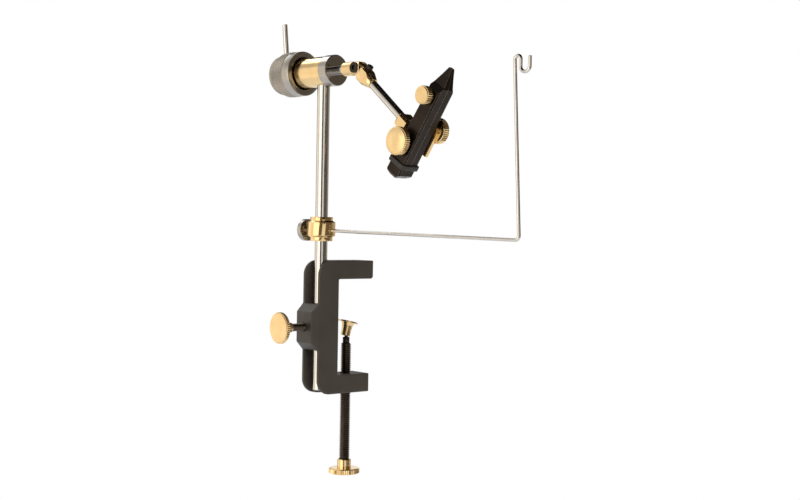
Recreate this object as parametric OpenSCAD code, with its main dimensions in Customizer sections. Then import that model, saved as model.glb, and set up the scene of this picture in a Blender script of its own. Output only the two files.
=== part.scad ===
// Rotary fly tying vise on a table clamp.
// The origin is the centre of the upper arm's underside, the face that rests on the table.
// +X points into the table along the throat, +Z points up the post.

/* [Fits] */
// Radial gap of a pin, screw or shaft that turns in its hole
run_gap = 0.05; // [0.02:0.01:0.09]
// Radial gap of a piece that is fixed in its hole
fixed_gap = 0.02; // [0.01:0.01:0.04]
// Gap between flat faces of pieces that move on each other
face_gap = 0.05; // [0.02:0.01:0.1]
// Radial gap of the holes in which the rocking jaw half needs room
rock_gap = 0.35; // [0.3:0.05:0.45]

/* [Clamp casting] */
// Height of the throat between the arms
throat_h = 71.4; // [66:0.1:80]
// Depth of the throat from its inner wall to the upper arm's end
throat_d = 32.15; // [30:0.05:40]
// Width of the casting
clamp_w = 20.7; // [19.5:0.1:24]
// Thickness of the arms
arm_t = 13.8; // [11:0.1:16]
// How much shorter the lower arm is than the upper one
lower_short = 2.65; // [0.5:0.05:5]
// Thickness from the post axis to the inner wall of the throat
web_t = 9.7; // [8:0.1:12]
// Depth of the flanges behind the post axis
flange_d = 8.7; // [7:0.1:10]
// Width of the channel between the flanges
channel_w = 15.6; // [13:0.1:17]
// Radius of the casting's outer corners at the back
back_corner_r = 11; // [6:0.5:12]
// Bevel at the tip of the upper arm
arm_bevel = 1.2; // [0.6:0.1:2]

/* [Clamp boss] */
// Distance from the post axis to the boss's outer face
boss_reach = 14.9; // [13.5:0.1:16]
// Distance from the table face down to the thumb screw
boss_drop = 35.3; // [32:0.1:38]
// Height of the boss at its base
boss_h = 34.4; // [30:0.1:38]
// Height of the boss's outer face
boss_face_h = 22.5; // [18:0.1:26]
// Width of the boss's outer face
boss_face_w = 18.3; // [16:0.1:19.4]

/* [Thumb screw] */
// Radius of the thumb screw
thumb_r = 2.85; // [2.4:0.05:3.2]
// Length of the brass shoe between the screw and the post
shoe_l = 2.6; // [2:0.1:3.5]
// Distance from the post axis to the knob's outer face
thumb_reach = 37.8; // [35:0.1:42]
// Radius of the thumb knob
thumb_knob_r = 11.45; // [9:0.05:13]
// Thickness of the thumb knob's disc
thumb_knob_t = 3.5; // [2.5:0.1:5]
// Length of the knob from its outer face to the end of its neck
thumb_knob_l = 11.2; // [10.9:0.1:14]
// Radius of the knob's neck
thumb_neck_r = 3.6; // [3.4:0.1:4.5]
// Length of the cone between the knob's disc and its neck
thumb_cone_l = 7.2; // [5:0.1:8]

/* [Clamp screw] */
// Distance from the post axis to the clamp screw's axis
screw_reach = 24.8; // [23:0.1:27]
// Radius of the clamp screw
screw_r = 3.97; // [3.5:0.01:4.5]
// Distance from the table face down to the top of the screw's thread
thread_drop = 48.9; // [46.5:0.1:51]
// Radius of the neck above the thread
neck_r = 2.6; // [2.3:0.1:3]
// Length of the neck above the thread
neck_l = 4.7; // [3:0.1:5]
// Distance from the neck's top up to the centre of the ball
ball_rise = 4.6; // [4.4:0.1:5]
// Radius of the ball
ball_r = 2.5; // [2.3:0.05:2.6]
// Radius of the stem below the ball
stem_r = 1.3; // [1.1:0.05:1.4]
// Depth to which the stem enters the screw
stem_depth = 9; // [6:0.5:12]
// Distance from the table face down to the end of the screw's knob
knob_drop = 147; // [140:0.1:156]
// Radius of the clamp knob
knob_r = 11.65; // [9:0.05:14]
// Thickness of the clamp knob's disc
knob_t = 4.1; // [3.5:0.1:6]
// Radius of the clamp knob's hub
knob_hub_r = 5.2; // [4.9:0.1:6.5]
// Length of the clamp knob's hub
knob_hub_l = 6.6; // [5:0.1:9]
// Radius of the cross pin in the knob's hub
knob_pin_r = 0.8; // [0.6:0.1:1]

/* [Pad] */
// Radius of the pad's flange
pad_r = 7.5; // [6.5:0.1:9]
// Thickness of the pad's flange
pad_t = 1; // [0.8:0.1:1.5]
// Radius of the pad's cup
cup_r = 3.6; // [3.4:0.1:4]
// Radius of the cup's flare under the pad
cup_flare_r = 4.9; // [4.2:0.1:5.5]
// Height of the pad's top above the ball's centre
cup_rise = 7.4; // [6:0.1:8.5]
// Depth of the cup below the ball's centre
cup_drop = 3.6; // [3.2:0.1:3.8]
// Distance below the ball's centre at which the cup's mouth starts to widen
lip_drop = 1.4; // [1.2:0.1:1.6]
// Radius of the cup's mouth
mouth_r = 2.8; // [2.5:0.1:3]
// Lean of the pad on the ball, in degrees
pad_lean = 14; // [0:1:14]

/* [Post] */
// Radius of the post
post_r = 4.7625; // [4.2:0.0125:4.9]
// Distance from the table face down to the post's foot
foot_drop = 82.5; // [78:0.5:90]
// Height of the head's axis above the table face
head_z = 154.2; // [145:0.1:165]
// Radius of the spigot on top of the post
spigot_r = 3.175; // [2.6:0.025:3.4]
// Bevel of bar ends
bar_bevel = 0.5; // [0.2:0.1:0.8]

/* [Cradle] */
// Height of the collar's centre above the table face
cradle_z = 37.1; // [34:0.1:60]
// Height of the collar
collar_h = 17.9; // [14:0.1:20]
// Radius of the collar
collar_r = 10.5; // [9.6:0.1:11.5]
// Radius of the turned shoulders at the collar's ends
shoulder_r = 8.5; // [7.5:0.1:9.4]
// Height of the turned shoulders
shoulder_h = 2.8; // [2:0.1:4]
// Height of the cones between the shoulders and the collar's middle
shoulder_cone_h = 1.2; // [0.5:0.1:2]
// Distance from the collar's centre down to the screw and the wire
port_drop = 0.9; // [0:0.1:2]
// Radius of the cradle's lock screw
cradle_screw_r = 2; // [1.5:0.1:2.4]
// Radius of the cradle's knob
cradle_knob_r = 8.2; // [7:0.1:10]
// Thickness of the cradle's knob
cradle_knob_t = 4.6; // [3:0.1:5.5]
// Distance from the post axis to the knob's inner face
cradle_knob_reach = 14.1; // [12:0.1:16]
// Radius of the cradle's wire
wire_r = 1.2; // [1:0.05:1.4]
// Distance from the post axis to the wire's corner
wire_reach = 188; // [181:0.5:200]
// Drop of the wire's arm, in degrees
wire_droop = 1.26; // [0:0.01:3]
// Backward lean of the wire's leg, in degrees
leg_lean = 2.8; // [0:0.1:4]
// Height of the wire's leg up to the hook
leg_h = 116.9; // [100:0.1:125]
// Bend radius of the wire's corner
corner_r = 3; // [2.5:0.1:5]
// Bend radius of the hook's top
hook_top_r = 2.4; // [2.2:0.1:4]
// Bend radius of the hook's cup
hook_cup_r = 3.75; // [3.4:0.05:6]
// Length of the wire between the two bends of the hook
hook_drop = 4.67; // [2:0.01:7]
// Length of the hook's free end
hook_end = 6.45; // [3:0.05:9]

/* [Head] */
// Direction of the head's axis seen from above, in degrees from the throat
head_yaw = -84; // [-180:1:180]
// Radius of the barrel
barrel_r = 11.2; // [10.7:0.1:11.6]
// Distance from the post axis to the barrel's front
barrel_front = 5.4; // [5.2:0.1:8]
// Distance from the post axis to the barrel's back
barrel_back = 30; // [26:0.1:33]
// Thickness of the thrust washers
washer_t = 0.5; // [0.4:0.1:1]
// Radius of the thrust washers
washer_r = 10; // [8:0.1:10.6]
// Radius of the spindle
spindle_r = 4; // [3.6:0.1:4.2]
// Radius of the bushes
bush_r = 5.4; // [5:0.1:5.6]
// Length of the bushes
bush_l = 10; // [7:0.1:12]
// Radius of the front collar
nose_r = 11.6; // [11.2:0.1:13]
// Distance from the post axis to the front collar's face
nose_front = 14; // [12:0.1:16]
// Radius of the set screws of the head
grub_r = 1.25; // [1:0.05:1.3]

/* [Rear knob] */
// Radius of the knob
rotor_r = 17.1; // [16:0.1:19]
// Distance from the post axis to the knob's front face
rotor_front = 21.7; // [20:0.1:24]
// Length of the knurled rim
rotor_rim_l = 17; // [14:0.1:19]
// Length of the boss behind the knurled rim
rotor_boss_l = 9.3; // [8:0.1:12]
// Radius of the boss behind the knurled rim
rotor_boss_r = 15.2; // [13.5:0.1:15.8]
// Rounding of the boss's edge
rotor_round = 4.5; // [2:0.1:5]
// Radius of the recess round the barrel
recess_r = 12.3; // [11.9:0.1:14]
// Radius of the crank rod
crank_r = 1.95; // [1.6:0.05:2.2]
// Height of the crank rod's end above the head's axis
crank_h = 38.8; // [30:0.1:50]
// Lean of the crank rod, in degrees
crank_lean = 5.5; // [0:0.5:10]
// Distance from the knob's back face to the crank rod
crank_inset = 7; // [5.5:0.1:7.2]

/* [Hub and elbow] */
// Radius of the hub
hub_r = 5.1; // [5:0.05:6]
// Distance from the post axis to the hub's back
hub_back = 22.9; // [20:0.1:25]
// Distance from the post axis to the elbow's pivot
elbow_reach = 37; // [36:0.1:40]
// Thickness of the elbow's tongue
tongue_t = 4; // [3.5:0.1:4.4]
// Radius of the tongue's round end
tongue_r = 4.8; // [4.4:0.1:5]
// Radius of the pivot screw
pivot_r = 2; // [1.6:0.1:2.2]
// Radius of the pivot screw's head
pivot_head_r = 3.9; // [3:0.1:4.1]
// Height of the pivot screw's head
pivot_head_t = 2; // [1.6:0.1:2.4]
// Slope of the arm below the head's axis, in degrees
arm_drop = 40.5; // [20:0.5:60]
// Radius of the elbow's body
elbow_r = 6.4; // [6.2:0.1:7.4]
// Distance from the pivot to the back of the elbow's body
elbow_start = 5.6; // [5.5:0.1:6.2]
// Distance from the pivot to the elbow's cone
elbow_cone = 12.4; // [11.4:0.1:15.4]
// Distance from the pivot to the elbow's front
elbow_end = 19.6; // [17:0.1:23]
// Radius of the elbow's front
elbow_end_r = 3.8; // [3.7:0.1:5]
// Width across the elbow's flats
elbow_flat_w = 9.4; // [8.4:0.1:11]
// Radius of the elbow's set screw
elbow_screw_r = 2.4; // [2:0.1:2.8]
// Height of the elbow's set screw above the arm's axis
elbow_screw_h = 8.4; // [7.8:0.1:10.4]

/* [Arm and knuckle] */
// Radius of the arm rod
rod_r = 3.175; // [2.9:0.025:3.4]
// Distance from the elbow's pivot to the near end of the arm rod
rod_start = 7; // [6.6:0.1:8]
// Length of the arm rod
rod_l = 59.5; // [58:0.1:61]
// Distance from the elbow's pivot to the knuckle
knuckle_start = 59.5; // [57:0.1:61]
// Distance from the elbow's pivot to the end of the knuckle's block
knuckle_end = 69; // [68.4:0.1:69.4]
// Thickness of the knuckle's block
knuckle_h = 9.2; // [8.6:0.1:9.6]
// Width of the knuckle's block
knuckle_w = 12; // [11:0.1:13]
// Bevel of the knuckle's edges
knuckle_bevel = 2; // [1:0.1:2.4]
// Distance from the elbow's pivot to the jaw's pivot, along the arm
jaw_along = 75.64; // [75.2:0.01:76.5]
// Distance of the jaw's pivot below the arm's axis
jaw_below = 8.09; // [7.8:0.01:8.6]
// Thickness of the knuckle's tongue in the jaw
link_t = 5; // [4.5:0.1:5.2]
// Radius of the knuckle's round tongue end
link_r = 4.2; // [3.9:0.1:4.4]
// Width of the knuckle's tongue
link_w = 7.6; // [6:0.1:7.6]

/* [Jaws] */
// Slope of the jaws above the head's axis, in degrees
jaw_rise = 56.3; // [30:0.1:80]
// Length of the jaws
jaw_l = 87.4; // [86:0.1:92]
// Thickness of each jaw half
jaw_t = 7.1; // [6.9:0.1:8]
// Distance from the jaw's pivot to the rocker pin, along the jaw
lock_rise = 15; // [14:0.1:17]
// Distance of the jaw's pivot behind the line through the tip
lock_b = 3.9; // [3.6:0.1:4.2]
// Distance of the jaw's front edge from the line through the tip
front_b = 6.8; // [6.5:0.1:7.5]
// Distance from the tip to the start of the front edge
front_a = 14; // [12:0.1:16]
// Distance of the back edge from the line through the tip, at its upper end
back_b = 5.1; // [4.8:0.1:5.6]
// Distance from the tip to the start of the back edge
back_a = 16; // [14:0.1:18]
// Distance of the back edge from the line through the tip, at its lower end
heel_b = 7.2; // [6.8:0.1:7.6]
// Width of the jaws' tip behind and before the line through the tip
tip_back = 0.5; // [0.3:0.1:1]
// Width of the tip in front of that line
tip_front = 2.6; // [1.5:0.1:3]
// Thickness of each half at the tip
tip_t = 1.3; // [0.8:0.1:2]
// Length of the tip's taper in thickness
taper_l = 18; // [15:0.1:19]
// Depth of the hollow grinding of the tips below a straight taper
tip_hollow = 1.1; // [0.2:0.1:1.6]
// Bevel of the jaws' long edges
jaw_bevel = 1.2; // [0.6:0.1:1.6]
// Bevel of the jaws' feet
foot_bevel = 4; // [2:0.1:4.4]
// Opening angle of the far half, in degrees
open_angle = 1.5; // [1:0.1:1.6]
// Forward tilt of the jaws on their pivot, in degrees
tilt_forward = 45; // [20:1:50]
// Backward tilt of the jaws on their pivot, in degrees
tilt_back = 8; // [2:1:8]
// Distance from the rocker pin to the end of the feet
foot_l = 10.9; // [9.5:0.1:12]
// Radius of the rocker pin
rocker_r = 1.2; // [0.9:0.1:1.4]
// Width of the rubber band
band_w = 3.6; // [2:0.1:4]
// Thickness of the rubber band
band_t = 1.3; // [0.8:0.1:1.6]

/* [Jaw knobs] */
// Distance from the tip to the adjusting screw
adjust_a = 23.5; // [22:0.1:26]
// Distance of the adjusting screw behind the line through the tip
adjust_b = 1.7; // [1.2:0.1:2]
// Radius of the adjusting screw
adjust_r = 1.5; // [1.2:0.1:1.7]
// Radius of the adjusting knob
adjust_knob_r = 6.45; // [5.5:0.05:7.5]
// Thickness of the adjusting knob
adjust_knob_t = 5.9; // [4.5:0.1:7]
// Height of the adjusting knob's hub
adjust_hub_t = 0.5; // [0.4:0.1:1]
// Radius of the jaw spring to the middle of its wire
spring_r = 2.35; // [2.3:0.05:2.4]
// Radius of the jaw spring's wire
spring_wire_r = 0.25; // [0.2:0.01:0.3]
// Length of the jaw spring
spring_l = 6; // [5.5:0.1:6.4]
// Turns of the jaw spring
spring_turns = 5; // [4:1:5]
// Radius of the jaw's pivot stud
stud_r = 2.4; // [2:0.1:2.8]
// Thickness of the washer under the lock knob
lock_washer_t = 2.4; // [1.8:0.1:3]
// Radius of the washer under the lock knob
lock_washer_r = 5.5; // [4.5:0.1:6.5]
// Radius of the lock knob
lock_knob_r = 10; // [8.5:0.1:11]
// Thickness of the lock knob's knurled rim
lock_rim_t = 4.6; // [3:0.1:5]
// Height of the lock knob's dome
lock_dome_h = 1.2; // [1:0.1:3]

/* [Cam lever] */
// Distance from the cam's shaft to the jaw's pivot, along the jaw
cam_rise = 14.7; // [13.5:0.1:16]
// Distance of the cam's shaft in front of the line through the tip
cam_b = 4; // [3.7:0.1:4.2]
// Radius of the cam's shaft
cam_shaft_r = 1.5; // [1.3:0.1:1.6]
// Radius of the cam's disc
cam_r = 9.2; // [8:0.1:10.5]
// Thickness of the cam's disc
cam_t = 5.4; // [4:0.1:6]
// Radius of the washer between the jaw and the cam's disc
cam_washer_r = 3.7; // [3.4:0.1:4.6]
// Thickness of that washer
cam_washer_t = 2.6; // [2.2:0.1:2.8]
// Width of the lever bar
lever_w = 6; // [5:0.1:7]
// Thickness of the lever bar
lever_t = 2.6; // [2.3:0.1:3.4]
// Length of the lever bar from the cam's shaft
lever_l = 19.2; // [17:0.1:24]
// Forward offset of the lever bar's axis from the cam's shaft
lever_offset = 1.2; // [1:0.1:2]

/* [Knurls] */
// Depth of the knurls
knurl_depth = 0.4; // [0.2:0.05:0.5]
// Width of a knurl's tooth on the small brass knobs
knurl_pitch = 1.5; // [0.9:0.05:1.8]
// Bevel of the knobs' edges
knob_bevel = 0.5; // [0.3:0.1:0.8]

/* [Hidden] */
$fn = 64;

// Overrun of cuts past the faces that they open
over = 1;

// Sides of the wire's section, turn between its rings, and sides and rings a turn of the spring's wire
wire_sides = 16;
bend_step = 12;
spring_sides = 6;
spring_rings = 8;

// Places of the clamp
post_x = -(web_t + throat_d / 2);
screw_x = post_x + screw_reach;
arm_end_x = throat_d / 2;
back_x = post_x - flange_d;
clamp_top = arm_t;
clamp_bottom = -throat_h - arm_t;
seat_r = post_r + run_gap;

// Places of the thumb screw, counted outwards from the post axis
shoe_start = post_r;
shoe_end = post_r + shoe_l;
thumb_start = shoe_end + face_gap;
thumb_neck_end = thumb_reach - thumb_knob_l;
thumb_disc_end = thumb_reach - thumb_knob_t;
thumb_flare_r = thumb_knob_r * 0.6;
thumb_inset = thumb_knob_l / 2;

// Places of the clamp screw
neck_top = -thread_drop + neck_l;
ball_z = neck_top + ball_rise;
hub_top = -knob_drop + knob_t + knob_hub_l;
screw_bottom = -knob_drop + knob_t / 2;
ball_gap = run_gap;
lip_r = sqrt(pow(ball_r + ball_gap, 2) - pow(lip_drop, 2));

// Places of the head, counted from the head's axis
post_wall = barrel_r - sqrt(pow(barrel_r, 2) - pow(post_r, 2));
post_sink = post_wall + bar_bevel / 2;
post_top = head_z - barrel_r + post_sink;
spigot_wall = 1;
spigot_top = head_z - bush_r - spigot_wall - face_gap;
head_screw_z = (post_top + spigot_top) / 2 - head_z;
nose_back = barrel_front + washer_t + 2 * face_gap;
recess_floor = barrel_back + washer_t + 2 * face_gap;
rotor_step = rotor_front + rotor_rim_l;
rotor_back = rotor_step + rotor_boss_l;
rotor_rim_share = 0.54;
hollow_share = 0.72;
rotor_rim = rotor_front + rotor_rim_l * (1 - rotor_rim_share);
// Crank rod: its place, its inner end's distance from the head's axis, and its set screw
crank_reach = rotor_back - crank_inset;
crank_start = rotor_boss_r / 2;
crank_screw_h = rotor_boss_r * 0.72;
crank_screw_depth = crank_inset - crank_r;
spindle_end = elbow_reach - tongue_r - spindle_r / 2;
spindle_nose_r = spindle_r * 0.75;
slot_start = elbow_reach - tongue_r - face_gap * 8;
ear_r = elbow_start - face_gap * 8;

// Places of the knuckle, counted along the arm from the elbow's pivot
rod_end = rod_start + rod_l;
knuckle_screw_along = (knuckle_start + rod_end) / 2;
link_rise = sqrt(pow(jaw_along - knuckle_end, 2) + pow(jaw_below, 2));
link_angle = atan2(jaw_below, knuckle_end - jaw_along);
link_gap = face_gap * 6;

// Places of the jaws
jaw_turn = 180 - jaw_rise;
tongue_slope = 90 - jaw_rise;
pocket_r = link_r + link_gap;
pocket_t = link_t + link_gap + face_gap;
pocket_reach = jaw_l / 4;
rocker_a = jaw_l - foot_l;
lock_a = rocker_a - lock_rise;
cam_a = lock_a - cam_rise;
foot_gap = foot_l * sin(open_angle) + face_gap;
spring_pocket_r = spring_r + spring_wire_r + rock_gap;
lock_knob_back = jaw_t + lock_washer_t + 2 * face_gap;
cam_disc_back = jaw_t + cam_washer_t + 2 * face_gap;
lever_back = jaw_t + 1.2 * sin(open_angle) * lever_l + face_gap;

// Children are placed in the head's frame: x forward along the spindle, z up
module at_head() translate([post_x, 0, head_z]) rotate([0, 0, head_yaw]) children();

// Children are placed in the cradle's frame: x outwards along the wire
module at_cradle() {
  translate([post_x, 0, cradle_z - port_drop]) rotate([0, 0, head_yaw]) children();
}

// Children are placed in the arm's frame: x along the arm from the elbow's pivot
module at_arm() at_head() translate([elbow_reach, 0, 0]) rotate([0, arm_drop, 0]) children();

// Children are placed in the jaw's frame: x from the tip to the feet, y across, z forward
module at_jaw() {
  at_arm()
    translate([jaw_along, 0, -jaw_below])
      rotate([0, jaw_turn - arm_drop, 0])
        translate([-lock_a, 0, lock_b])
          children();
}

// Cylinder along x from one place to another
module along_x(from, to, r) translate([from, 0, 0]) rotate([0, 90, 0]) cylinder(h = to - from, r = r);

// Cylinder along y from one place to another
module along_y(from, to, r) translate([0, from, 0]) rotate([-90, 0, 0]) cylinder(h = to - from, r = r);

// Outline in x and z, extruded along y from one place to another
module slab_y(from, to) {
  translate([0, to, 0]) rotate([90, 0, 0]) linear_extrude(to - from) children();
}

// Solid of revolution about x, from points of place and radius
module turned_x(points) {
  rotate([0, 90, 0]) rotate_extrude() polygon([for (p = points) [p[1], p[0]]]);
}

// Bar along z with bevelled ends
module bar(l, r, bevel) {
  cylinder(h = bevel, r1 = r - bevel, r2 = r);
  translate([0, 0, bevel]) cylinder(h = l - 2 * bevel, r = r);
  translate([0, 0, l - bevel]) cylinder(h = bevel, r1 = r, r2 = r - bevel);
}

// Straight-knurled disc along z with bevelled faces, which lie inside the roots of the knurl
module knurled_disc(t, r) {
  teeth = round(2 * PI * r / knurl_pitch);
  root_r = r - knurl_depth;
  face_r = root_r - knurl_depth / 2;
  cylinder(h = knob_bevel, r1 = face_r - knob_bevel, r2 = face_r);
  translate([0, 0, knob_bevel]) linear_extrude(t - 2 * knob_bevel)
    polygon([for (i = [0:2 * teeth - 1])
      (i % 2 == 0 ? r : root_r) * [cos(180 * i / teeth), sin(180 * i / teeth)]]);
  translate([0, 0, t - knob_bevel]) cylinder(h = knob_bevel, r1 = face_r, r2 = face_r - knob_bevel);
}

// Set screw along z with a hexagon socket in its top
module grub(l, r) {
  difference() {
    cylinder(h = l, r = r);
    translate([0, 0, l / 2]) cylinder(h = l, r = r / 2, $fn = 6);
  }
}

// Side view of the casting without its boss
module clamp_outline() {
  difference() {
    translate([back_x, clamp_bottom]) square([arm_end_x - back_x, clamp_top - clamp_bottom]);
    translate([-throat_d / 2, -throat_h]) square([throat_d + over, throat_h]);
    translate([arm_end_x - lower_short, clamp_bottom - over]) square([throat_d, arm_t + 2 * over]);
    translate([arm_end_x, 0]) polygon([
      [-arm_bevel, -over],
      [-arm_bevel, 0],
      [0, arm_bevel],
      [over, arm_bevel],
      [over, -over]
    ]);
    for (top = [0, 1]) {
      y = top == 1 ? clamp_top - back_corner_r : clamp_bottom;
      difference() {
        translate([back_x - over, top == 1 ? y : y - over]) square(back_corner_r + over);
        translate([back_x + back_corner_r, top == 1 ? y : y + back_corner_r]) circle(back_corner_r);
      }
    }
  }
}

// Boss for the thumb screw: bevelled above, below and at its sides
module clamp_boss() {
  intersection() {
    slab_y(-clamp_w / 2, clamp_w / 2) polygon([
      [post_x, -boss_drop - boss_h / 2],
      [back_x, -boss_drop - boss_h / 2],
      [post_x - boss_reach, -boss_drop - boss_face_h / 2],
      [post_x - boss_reach, -boss_drop + boss_face_h / 2],
      [back_x, -boss_drop + boss_h / 2],
      [post_x, -boss_drop + boss_h / 2]
    ]);
    translate([0, 0, -boss_drop - boss_h]) linear_extrude(2 * boss_h) polygon([
      [post_x, -clamp_w / 2],
      [back_x, -clamp_w / 2],
      [post_x - boss_reach, -boss_face_w / 2],
      [post_x - boss_reach, boss_face_w / 2],
      [back_x, clamp_w / 2],
      [post_x, clamp_w / 2]
    ]);
  }
}

// Cast C-clamp with a channel for the post
module clamp_frame() {
  color("#2d2a27")
  difference() {
    union() {
      difference() {
        slab_y(-clamp_w / 2, clamp_w / 2) clamp_outline();
        translate([back_x - over, -channel_w / 2, clamp_bottom - over])
          cube([flange_d + over, channel_w, clamp_top - clamp_bottom + 2 * over]);
      }
      clamp_boss();
    }
    translate([post_x, 0, clamp_bottom - over])
      cylinder(h = clamp_top - clamp_bottom + 2 * over, r = seat_r);
    translate([post_x, 0, -boss_drop]) along_x(-boss_reach - over, 0, thumb_r + run_gap);
    translate([screw_x, 0, clamp_bottom - over]) cylinder(h = arm_t + 2 * over, r = screw_r + run_gap);
  }
}

// Brass shoe that the thumb screw presses on the post
module post_shoe() {
  color("#b9863a")
  translate([post_x, 0, -boss_drop])
    difference() {
      along_x(-shoe_end, 0, thumb_r);
      translate([0, 0, -2 * thumb_r]) cylinder(h = 4 * thumb_r, r = seat_r);
    }
}

// Thumb screw for the post
module post_screw() {
  color("#1f1c1a")
  translate([post_x, 0, -boss_drop])
    along_x(-thumb_neck_end - thumb_inset, -thumb_start, thumb_r);
}

// Knurled knob of the thumb screw
module post_screw_knob() {
  color("#d9b25f")
  translate([post_x, 0, -boss_drop])
    difference() {
      union() {
        translate([-thumb_reach, 0, 0]) rotate([0, 90, 0]) knurled_disc(thumb_knob_t, thumb_knob_r);
        turned_x([
          [-thumb_disc_end - over / 2, 0],
          [-thumb_disc_end - over / 2, thumb_flare_r],
          [-thumb_disc_end, thumb_flare_r],
          [-thumb_disc_end + thumb_cone_l / 3, (thumb_flare_r + 2 * thumb_neck_r) / 3],
          [-thumb_disc_end + thumb_cone_l, thumb_neck_r],
          [-thumb_neck_end, thumb_neck_r],
          [-thumb_neck_end, 0]
        ]);
      }
      along_x(-thumb_neck_end - thumb_inset - fixed_gap, -thumb_neck_end + over, thumb_r + fixed_gap);
    }
}

// Ball on a stem that turns freely in the end of the clamp screw
module swivel_ball() {
  color("#4a4643")
  translate([screw_x, 0, 0]) {
    translate([0, 0, ball_z]) sphere(ball_r);
    translate([0, 0, neck_top - stem_depth]) cylinder(h = ball_rise + stem_depth, r = stem_r);
  }
}

// Threaded clamp screw
module clamp_screw() {
  color("#1f1c1a")
  translate([screw_x, 0, 0])
    difference() {
      union() {
        translate([0, 0, screw_bottom]) cylinder(h = -thread_drop - screw_bottom, r = screw_r);
        translate([0, 0, -thread_drop - over]) cylinder(h = neck_l + over, r = neck_r);
      }
      translate([0, 0, neck_top - stem_depth - face_gap])
        cylinder(h = stem_depth + over, r = stem_r + run_gap);
      translate([0, 0, hub_top - knob_hub_l / 2])
        along_y(-2 * screw_r, 2 * screw_r, knob_pin_r + fixed_gap);
    }
}

// Knurled knob at the foot of the clamp screw
module clamp_knob() {
  color("#d9b25f")
  translate([screw_x, 0, 0])
    difference() {
      union() {
        translate([0, 0, -knob_drop]) knurled_disc(knob_t, knob_r);
        translate([0, 0, -knob_drop + knob_t - over]) {
          cylinder(h = knob_hub_l + over - knob_bevel, r = knob_hub_r);
          translate([0, 0, knob_hub_l + over - knob_bevel])
            cylinder(h = knob_bevel, r1 = knob_hub_r, r2 = knob_hub_r - knob_bevel);
        }
      }
      translate([0, 0, screw_bottom - fixed_gap]) cylinder(h = knob_drop, r = screw_r + fixed_gap);
      translate([0, 0, hub_top - knob_hub_l / 2])
        along_y(-2 * knob_hub_r, 2 * knob_hub_r, knob_pin_r + fixed_gap);
    }
}

// Cross pin that holds the knob on the clamp screw
module knob_pin() {
  color("#8a8580")
  translate([screw_x, 0, hub_top - knob_hub_l / 2]) along_y(-knob_hub_r, knob_hub_r, knob_pin_r);
}

// Brass pad that tilts on the ball
module swivel_pad() {
  color("#d9b25f")
  translate([screw_x, 0, ball_z]) rotate([0, pad_lean, 0])
    difference() {
      rotate_extrude() polygon([
        [0, cup_rise],
        [pad_r, cup_rise],
        [pad_r, cup_rise - pad_t],
        [cup_flare_r, cup_rise - pad_t],
        [(cup_flare_r + 2 * cup_r) / 3, cup_rise * 0.55],
        [cup_r, 0],
        [cup_r, -cup_drop],
        [0, -cup_drop]
      ]);
      sphere(ball_r + ball_gap);
      translate([0, 0, -lip_drop - over]) cylinder(h = over, r = lip_r);
      translate([0, 0, -cup_drop]) cylinder(h = cup_drop - lip_drop, r1 = mouth_r, r2 = lip_r);
      translate([0, 0, -cup_drop - over]) cylinder(h = over, r = mouth_r);
    }
}

// Steel post with a spigot for the head
module post() {
  color("#c9c6c2")
  translate([post_x, 0, 0]) {
    translate([0, 0, -foot_drop]) bar(foot_drop + post_top, post_r, bar_bevel);
    translate([0, 0, post_top - over]) cylinder(h = spigot_top - post_top + over, r = spigot_r);
  }
}

// Round brass collar with turned shoulders
module cradle_collar() {
  shoulder_z = collar_h / 2 - shoulder_h;
  middle_z = shoulder_z - shoulder_cone_h;
  color("#d9a441")
  translate([post_x, 0, cradle_z]) rotate([0, 0, head_yaw])
    difference() {
      rotate_extrude() polygon([
        [0, -collar_h / 2],
        [shoulder_r, -collar_h / 2],
        [shoulder_r, -shoulder_z],
        [collar_r, -middle_z],
        [collar_r, middle_z],
        [shoulder_r, shoulder_z],
        [shoulder_r, collar_h / 2],
        [0, collar_h / 2]
      ]);
      translate([0, 0, -collar_h]) cylinder(h = 2 * collar_h, r = seat_r);
      translate([0, 0, -port_drop]) {
        along_x(-2 * collar_r, 0, cradle_screw_r + run_gap);
        rotate([0, wire_droop, 0]) along_x(0, 2 * collar_r, wire_r + fixed_gap);
      }
    }
}

// Places and headings along a wire of straight runs, each followed by a bend of a turn and a radius
function wire_path(steps, i = 0, at = [0, 0], head = 0) =
  let (
    turn = steps[i][1],
    bend_r = sign(turn) * steps[i][2],
    bend_at = at + steps[i][0] * [cos(head), sin(head)],
    middle = bend_at + bend_r * [-sin(head), cos(head)],
    rings = ceil(abs(turn) / bend_step),
    bend = [for (ring = [0:rings]) let (h = head + turn * ring / max(rings, 1))
      [middle + bend_r * [sin(h), -cos(h)], h]]
  )
  concat(
    i == 0 ? [[at, head]] : [],
    bend,
    i + 1 < len(steps) ? wire_path(steps, i + 1, bend[rings][0], head + turn) : []
  );

// Tube through the rings of points, each ring of a number of sides
module tube(points, sides) {
  last = len(points) / sides - 1;
  walls = [for (ring = [0:last - 1], side = [0:sides - 1])
    let (a = ring * sides + side, b = ring * sides + (side + 1) % sides)
    each [[a, b, b + sides], [a, b + sides, a + sides]]];
  first_cap = [for (side = [1:sides - 2]) [0, side + 1, side]];
  end = last * sides;
  end_cap = [for (side = [1:sides - 2]) [end, end + side, end + side + 1]];
  polyhedron(points, concat(walls, first_cap, end_cap));
}

// Round wire along the steps in the plane of x and y
module wire_run(steps) {
  tube([for (stop = wire_path(steps), side = [0:wire_sides - 1])
    let (angle = 360 * side / wire_sides, h = stop[1])
    [
      stop[0].x + wire_r * cos(angle) * sin(h),
      stop[0].y - wire_r * cos(angle) * cos(h),
      wire_r * sin(angle)
    ]], wire_sides);
}

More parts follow.
